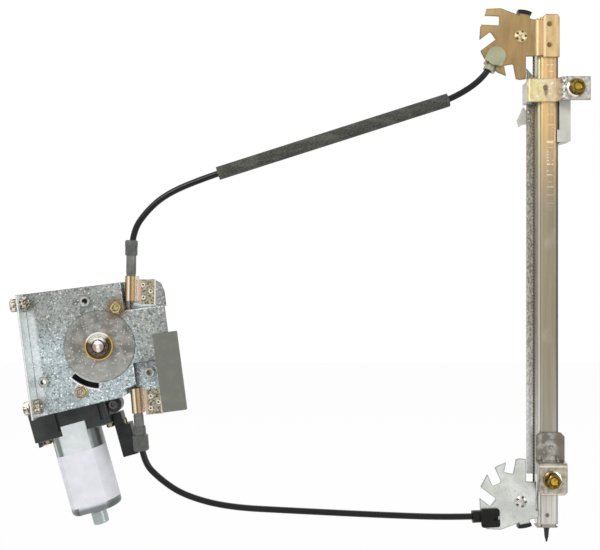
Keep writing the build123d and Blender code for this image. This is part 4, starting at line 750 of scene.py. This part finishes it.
side_bolt = Finish("side bolt zinc", metallic=0.8, roughness=0.22)
glints = side_bolt.noise(0.0016, 4.0)
bolt_zinc = glints.step(0.40, 0.52).blend((64, 56, 44), (190, 182, 160))
bolt_zinc = bolt_zinc.under(glints.step(0.56, 0.62), (250, 246, 236))
# Painted shade darkens the edges of the bolts and nuts.
side_bolt.set(Base_Color=bolt_zinc.under(0.7 * side_bolt.edges(0.0014), (40, 36, 30)))
dress(side_bolt, "flange_bolts", "flange_nuts")


# ---- Drum and shaft ----
# The ground output shaft turns in a flanged bronze bush and is kept by a ring. Behind the plate it
# carries the grooved nylon drum.
bush = Finish("bush bronze", metallic=0.9, roughness=0.22)
bush_out = bush.reach(DRUM)
# The bore and collar are painted light at the top and dark below, with painted shade at the edges.
bush_lit = (bush.along((-0.25, 0, 0.97), DRUM) / bush_out).step(0.45, 0.75)
bore = bush_lit.blend((70, 62, 52), (232, 228, 220))
bore = bore.under(0.4 * bush.noise(0.0012, 4.0).step(0.4, 0.6), (120, 104, 84))
collar = bush_lit.blend((206, 170, 84), (250, 248, 240))
bronze = bush_out.step(0.0098, 0.0102).blend(bore, collar)
bush.set(Base_Color=bronze.under(0.5 * bush.edges(0.0003), (70, 56, 34)))
bush.relief(bush.noise(0.0012, 4.0), 0.00004)
dress(bush, "drum_bush")

ring = Finish("ring steel", metallic=0.9, roughness=0.2)
# Painted light at the top, painted shade below and painted highlights on the edges.
ring_lit = (ring.along((-0.1, 0, 1.0), DRUM) / ring.reach(DRUM)).step(0.35, 0.85)
ring_tone = ring_lit.blend((66, 56, 46), (246, 244, 238))
tarnish = ring.noise(0.0016, 4.0).step(0.45, 0.6)
ring_tone = ring_tone.under(0.5 * tarnish, (150, 120, 84))
ring.set(Base_Color=ring_tone.under(0.5 * ring.edges(0.0004), (214, 208, 198)))
ring.relief(ring.noise(0.0012, 4.0), 0.00004)
dress(ring, "shaft_ring")

shaft = Finish("shaft steel", metallic=0.95, roughness=0.2)
# A painted highlight runs down the shaft end's middle and over its top, with painted shade at its
# rim.
centre_highlight = abs(shaft.along((1, 0, 0.1), DRUM)).step(0.0006, 0.0022)
shaft_end = centre_highlight.blend((232, 226, 222), (168, 142, 134))
lit_top = shaft.along((0, 0, 1), DRUM).step(0.0010, 0.0036)
shaft_end = shaft_end.under(lit_top, (250, 246, 242))
shaft_end = shaft_end.under(shaft.reach(DRUM).step(0.0038, 0.0048), (84, 70, 62))
shaft.set(Base_Color=shaft_end, Roughness=0.14 + 0.2 * shaft.noise(0.001))
shaft.relief(shaft.noise(0.0008, 3.0), 0.00002)
dress(shaft, "drum_shaft")
dress(moulded("drum nylon", (44, 44, 44), (58, 58, 56)), "cable_drum")


# ---- Gearbox ----
# The housing and its cover are black glass-filled nylon, closed by three self-tapping screws. Inside
# turn an acetal worm wheel, its rubber damper and the steel driver on the shaft.
housing = moulded(
    "glass-filled nylon", (34, 36, 36), (54, 57, 57),
    size=0.004, roughness=0.34, relief=0.00003, edge_highlight=(112, 118, 118),
)
housing.set(Specular_IOR_Level=0.35)
dress(housing, "gear_housing", "gear_cover")
dress(moulded("acetal", (222, 220, 206), (206, 204, 190)), "worm_wheel")
dress(rubber("damper rubber", (40, 40, 40), (60, 60, 58)), "wheel_damper")
driver = plated("driver steel", (160, 160, 156), (130, 130, 126), (80, 80, 78))
dress(driver, "drive_plate")
cover_screw = plated(
    "screw zinc", (186, 184, 176), (146, 142, 132), (80, 76, 70),
    size=0.002, roughness=0.25,
)
dress(cover_screw, "cover_screws")
ear_screw = plated(
    "dark screw", (96, 96, 96), (76, 76, 76), (40, 40, 40),
    size=0.002, roughness=0.25,
)
dress(ear_screw, "ear_screw")


# ---- Motor ----
# A drawn steel can with flattened front and back, plated bright, holds two magnets and the armature.
# Its flange is screwed to the brush block, and its foot ends in a bearing boss.
GEAR_LEAN = math.radians(-15.5)
MOTOR_LEFT = -0.0418
MOTOR_DEPTH = 0.034
gear_turn = Matrix.Translation(DRUM) @ Matrix.Rotation(GEAR_LEAN, 4, "Y")
motor_axis = gear_turn @ Matrix.Translation((MOTOR_LEFT, MOTOR_DEPTH, 0))
MOTOR_MIDDLE = tuple(motor_axis.translation)


def motor_way(x, z):
    """Direction given on the upright motor, as it leans in the assembly."""
    return tuple(motor_axis.to_3x3() @ Vector((x, 0, z)))


can = zinc_coat("can zinc", size=0.006, roughness=0.3, metallic=0.7)
can_right = can.along(motor_way(1, 0), MOTOR_MIDDLE)
can_up = can.along(motor_way(0, 1), MOTOR_MIDDLE)
can_coat = can.noise(0.012, 4.0).step(0.3, 0.7).blend((224, 230, 230), (206, 212, 212))
# Painted shade darkens the can's rounded flanks; a painted glint lies on the left one.
left_flank_shade = 1 - can_right.step(-0.0112, -0.0096)
right_flank_shade = can_right.step(0.0118, 0.0130)
flank_shade = left_flank_shade.maths("MAXIMUM", left_flank_shade, right_flank_shade)
can_coat = can_coat.under(0.80 * flank_shade, (84, 88, 85))
flank_glint = can_right.step(-0.0170, -0.0160) * (1 - can_right.step(-0.0150, -0.0140))
can_coat = can_coat.under(0.6 * flank_glint, (214, 220, 220))
# Painted shade darkens the can round its foot.
can_foot_shade = 1 - can_up.step(-0.1225, -0.1195)
can_coat = can_coat.under(0.8 * can_foot_shade, (92, 96, 96))
boss = 1 - can_up.step(-0.1285, -0.1275)
can.set(Base_Color=can_coat.under(0.8 * boss, (176, 184, 184)))
dress(can, "motor_can")
can_screw = plated(
    "can screw zinc", (176, 164, 134), (160, 140, 100), (90, 76, 52),
    size=0.002, roughness=0.25, metallic=0.85,
)
dress(can_screw, "can_screws")
ferrite = plated(
    "ferrite", (70, 70, 72), (56, 56, 58), (36, 36, 38),
    size=0.003, roughness=0.6, metallic=0.1,
)
dress(ferrite, "motor_magnets")
ground = plated(
    "ground steel", (206, 200, 194), (170, 160, 152), (96, 88, 80),
    size=0.002, roughness=0.16, metallic=0.95, edge=0.0002,
)
dress(ground, "armature_shaft", "thrust_ball")
stack = plated(
    "laminations", (130, 130, 134), (104, 104, 108), (64, 64, 66),
    size=0.002, roughness=0.4, metallic=0.6,
)
dress(stack, "armature_core")
copper = plated(
    "enamelled copper", (190, 104, 62), (150, 78, 46), (90, 44, 26),
    size=0.001, roughness=0.25, metallic=0.8,
)
dress(copper, "armature_windings")
bars = plated(
    "copper bars", (210, 140, 98), (180, 112, 74), (110, 66, 44),
    size=0.002, roughness=0.25, metallic=0.95,
)
dress(bars, "commutator")
dress(moulded("phenolic", (96, 62, 40), (80, 50, 32)), "brush_holder")
dress(rubber("carbon", (40, 40, 42), (60, 60, 62), size=0.001, roughness=0.6), "brushes")
sinter = plated(
    "bush sinter", (176, 142, 92), (150, 118, 74), (90, 70, 44),
    size=0.001, roughness=0.45, metallic=0.85,
)
dress(sinter, "motor_bushes")


# ---- Motor label ----
# A bare white paper label, 0.06 mm thick, is wrapped round the can's front, its face 0.12 mm off the
# steel. Its edges are square to the motor's axis.
LABEL_TOP = -0.0765
LABEL_BOTTOM = -0.1195
LABEL_THICKNESS = 0.00006
LABEL_ROUND = 0.02012
LABEL_FLAT = -0.01562
wrap = bmesh.new()
bmesh.ops.create_circle(wrap, cap_ends=False, radius=LABEL_ROUND, segments=128)
back = [v for v in wrap.verts if v.co.y > 0.001]
bmesh.ops.delete(wrap, geom=back, context="VERTS")
for v in wrap.verts:
    v.co.y = max(v.co.y, LABEL_FLAT)
sides = bmesh.ops.extrude_edge_only(wrap, edges=wrap.edges[:])
lifted = [v for v in sides["geom"] if isinstance(v, bmesh.types.BMVert)]
bmesh.ops.translate(wrap, verts=lifted, vec=(0, 0, LABEL_TOP - LABEL_BOTTOM))
bmesh.ops.recalc_face_normals(wrap, faces=wrap.faces[:])
if sum(f.normal.y for f in wrap.faces) > 0:
    bmesh.ops.reverse_faces(wrap, faces=wrap.faces[:])
bmesh.ops.solidify(wrap, geom=wrap.faces[:], thickness=LABEL_THICKNESS)
bmesh.ops.translate(wrap, verts=wrap.verts[:], vec=(0, 0, LABEL_BOTTOM))
bmesh.ops.transform(wrap, matrix=motor_axis, verts=wrap.verts[:])
label_mesh = bpy.data.meshes.new("motor_label")
wrap.to_mesh(label_mesh)
wrap.free()
label = bpy.data.objects.new("motor_label", label_mesh)
bpy.context.scene.collection.objects.link(label)
paper = Finish("label paper", metallic=0.0, roughness=0.5)
fibre = paper.noise(0.01, 4.0).step(0.3, 0.7)
paper.set(Base_Color=fibre.blend((232, 232, 238), (222, 222, 230)))
paper.relief(paper.noise(0.002, 3.0), 0.00002)
label_mesh.materials.append(paper.material)
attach(label, "frame")


# ---- Connector ----
# The motor's two-way socket is a black nylon moulding beside the brush block, open at its lower end,
# with two tinned blades.
shell = moulded("socket nylon", (30, 32, 31), (46, 48, 47), size=0.003, roughness=0.4)
shell.set(Specular_IOR_Level=0.22)
dress(shell, "connector_shell")
blade = plated(
    "tinned brass", (206, 198, 168), (180, 172, 142), (120, 112, 90),
    size=0.001, roughness=0.25, metallic=0.9,
)
dress(blade, "connector_terminals")


# ---- Studio ----
# A pale floor lies well below the part, in a white surround. A large soft lamp stands high on the
# left, a weaker one on the right and one behind. The camera looks straight at the assembly's front.
FLOOR_HEIGHT = -0.30
FLOOR_SIZE = 4.0
WHITE = (1, 1, 1, 1)
floor_grid = bmesh.new()
bmesh.ops.create_grid(floor_grid, x_segments=1, y_segments=1, size=FLOOR_SIZE)
bmesh.ops.translate(floor_grid, verts=floor_grid.verts[:], vec=(0, 0, FLOOR_HEIGHT))
floor_mesh = bpy.data.meshes.new("floor")
floor_grid.to_mesh(floor_mesh)
floor_grid.free()
floor = bpy.data.objects.new("floor", floor_mesh)
bpy.context.scene.collection.objects.link(floor)


def seen_white(tree, lit, kind, output, strength):
    """White to the camera, mirrors and glass, over what lights the object."""
    path = tree.nodes.new("ShaderNodeLightPath")
    camera_rays, glossy_rays, glass_rays = (
        Tone(path.outputs[f"Is {ray} Ray"]) for ray in ("Camera", "Glossy", "Transmission")
    )
    seen = (camera_rays + glossy_rays + glass_rays).held()
    white = seen.node(kind, {}, {"Color": WHITE, "Strength": 1.0})
    sockets = {0: seen * strength, 1: Tone(lit.outputs[0]), 2: white}
    shown = seen.node("ShaderNodeMixShader", {}, sockets)
    tree.links.new(shown.socket, tree.nodes[output].inputs[0])


pale = bpy.data.materials.new("pale floor")
pale.use_nodes = True
pale_shader = pale.node_tree.nodes["Principled BSDF"]
pale_shader.inputs["Base Color"].default_value = paint(238, 238, 238)
pale_shader.inputs["Roughness"].default_value = 0.9
floor_mesh.materials.append(pale)
seen_white(pale.node_tree, pale_shader, "ShaderNodeEmission", "Material Output", strength=0.96)

world = bpy.data.worlds.new("white surround")
bpy.context.scene.world = world
world.use_nodes = True
surround = world.node_tree.nodes["Background"]
surround.inputs["Color"].default_value = WHITE
surround.inputs["Strength"].default_value = 0.55
seen_white(world.node_tree, surround, "ShaderNodeBackground", "World Output", strength=1.0)

MIDDLE = Vector((-0.19, 0.0, 0.15))


def softbox(name, place, size, power):
    """Square area lamp at a place, turned to the assembly's middle."""
    lamp = bpy.data.lights.new(name, "AREA")
    lamp.size = size
    lamp.energy = power
    made = bpy.data.objects.new(name, lamp)
    made.location = place
    made.rotation_euler = (MIDDLE - Vector(place)).to_track_quat("-Z", "Y").to_euler()
    bpy.context.scene.collection.objects.link(made)


softbox("key", (-1.0, -1.5, 1.3), size=0.8, power=16.0)
softbox("fill", (1.4, -1.1, 0.5), size=1.0, power=7.0)
softbox("rear", (0.2, 1.6, 1.2), size=1.2, power=10.0)

FILM_WIDTH = 36.0
VIEW_DISTANCE = 0.700
VIEW_WIDTH = 0.468
camera_data = bpy.data.cameras.new("camera")
camera_data.sensor_width = FILM_WIDTH
camera_data.lens = FILM_WIDTH * VIEW_DISTANCE / VIEW_WIDTH
camera = bpy.data.objects.new("camera", camera_data)
camera.location = (-0.194, -0.690, 0.1577)
camera.rotation_euler = (math.radians(90), 0, 0)
bpy.context.scene.collection.objects.link(camera)
bpy.context.scene.camera = camera
bpy.context.scene.view_settings.view_transform = "Standard"
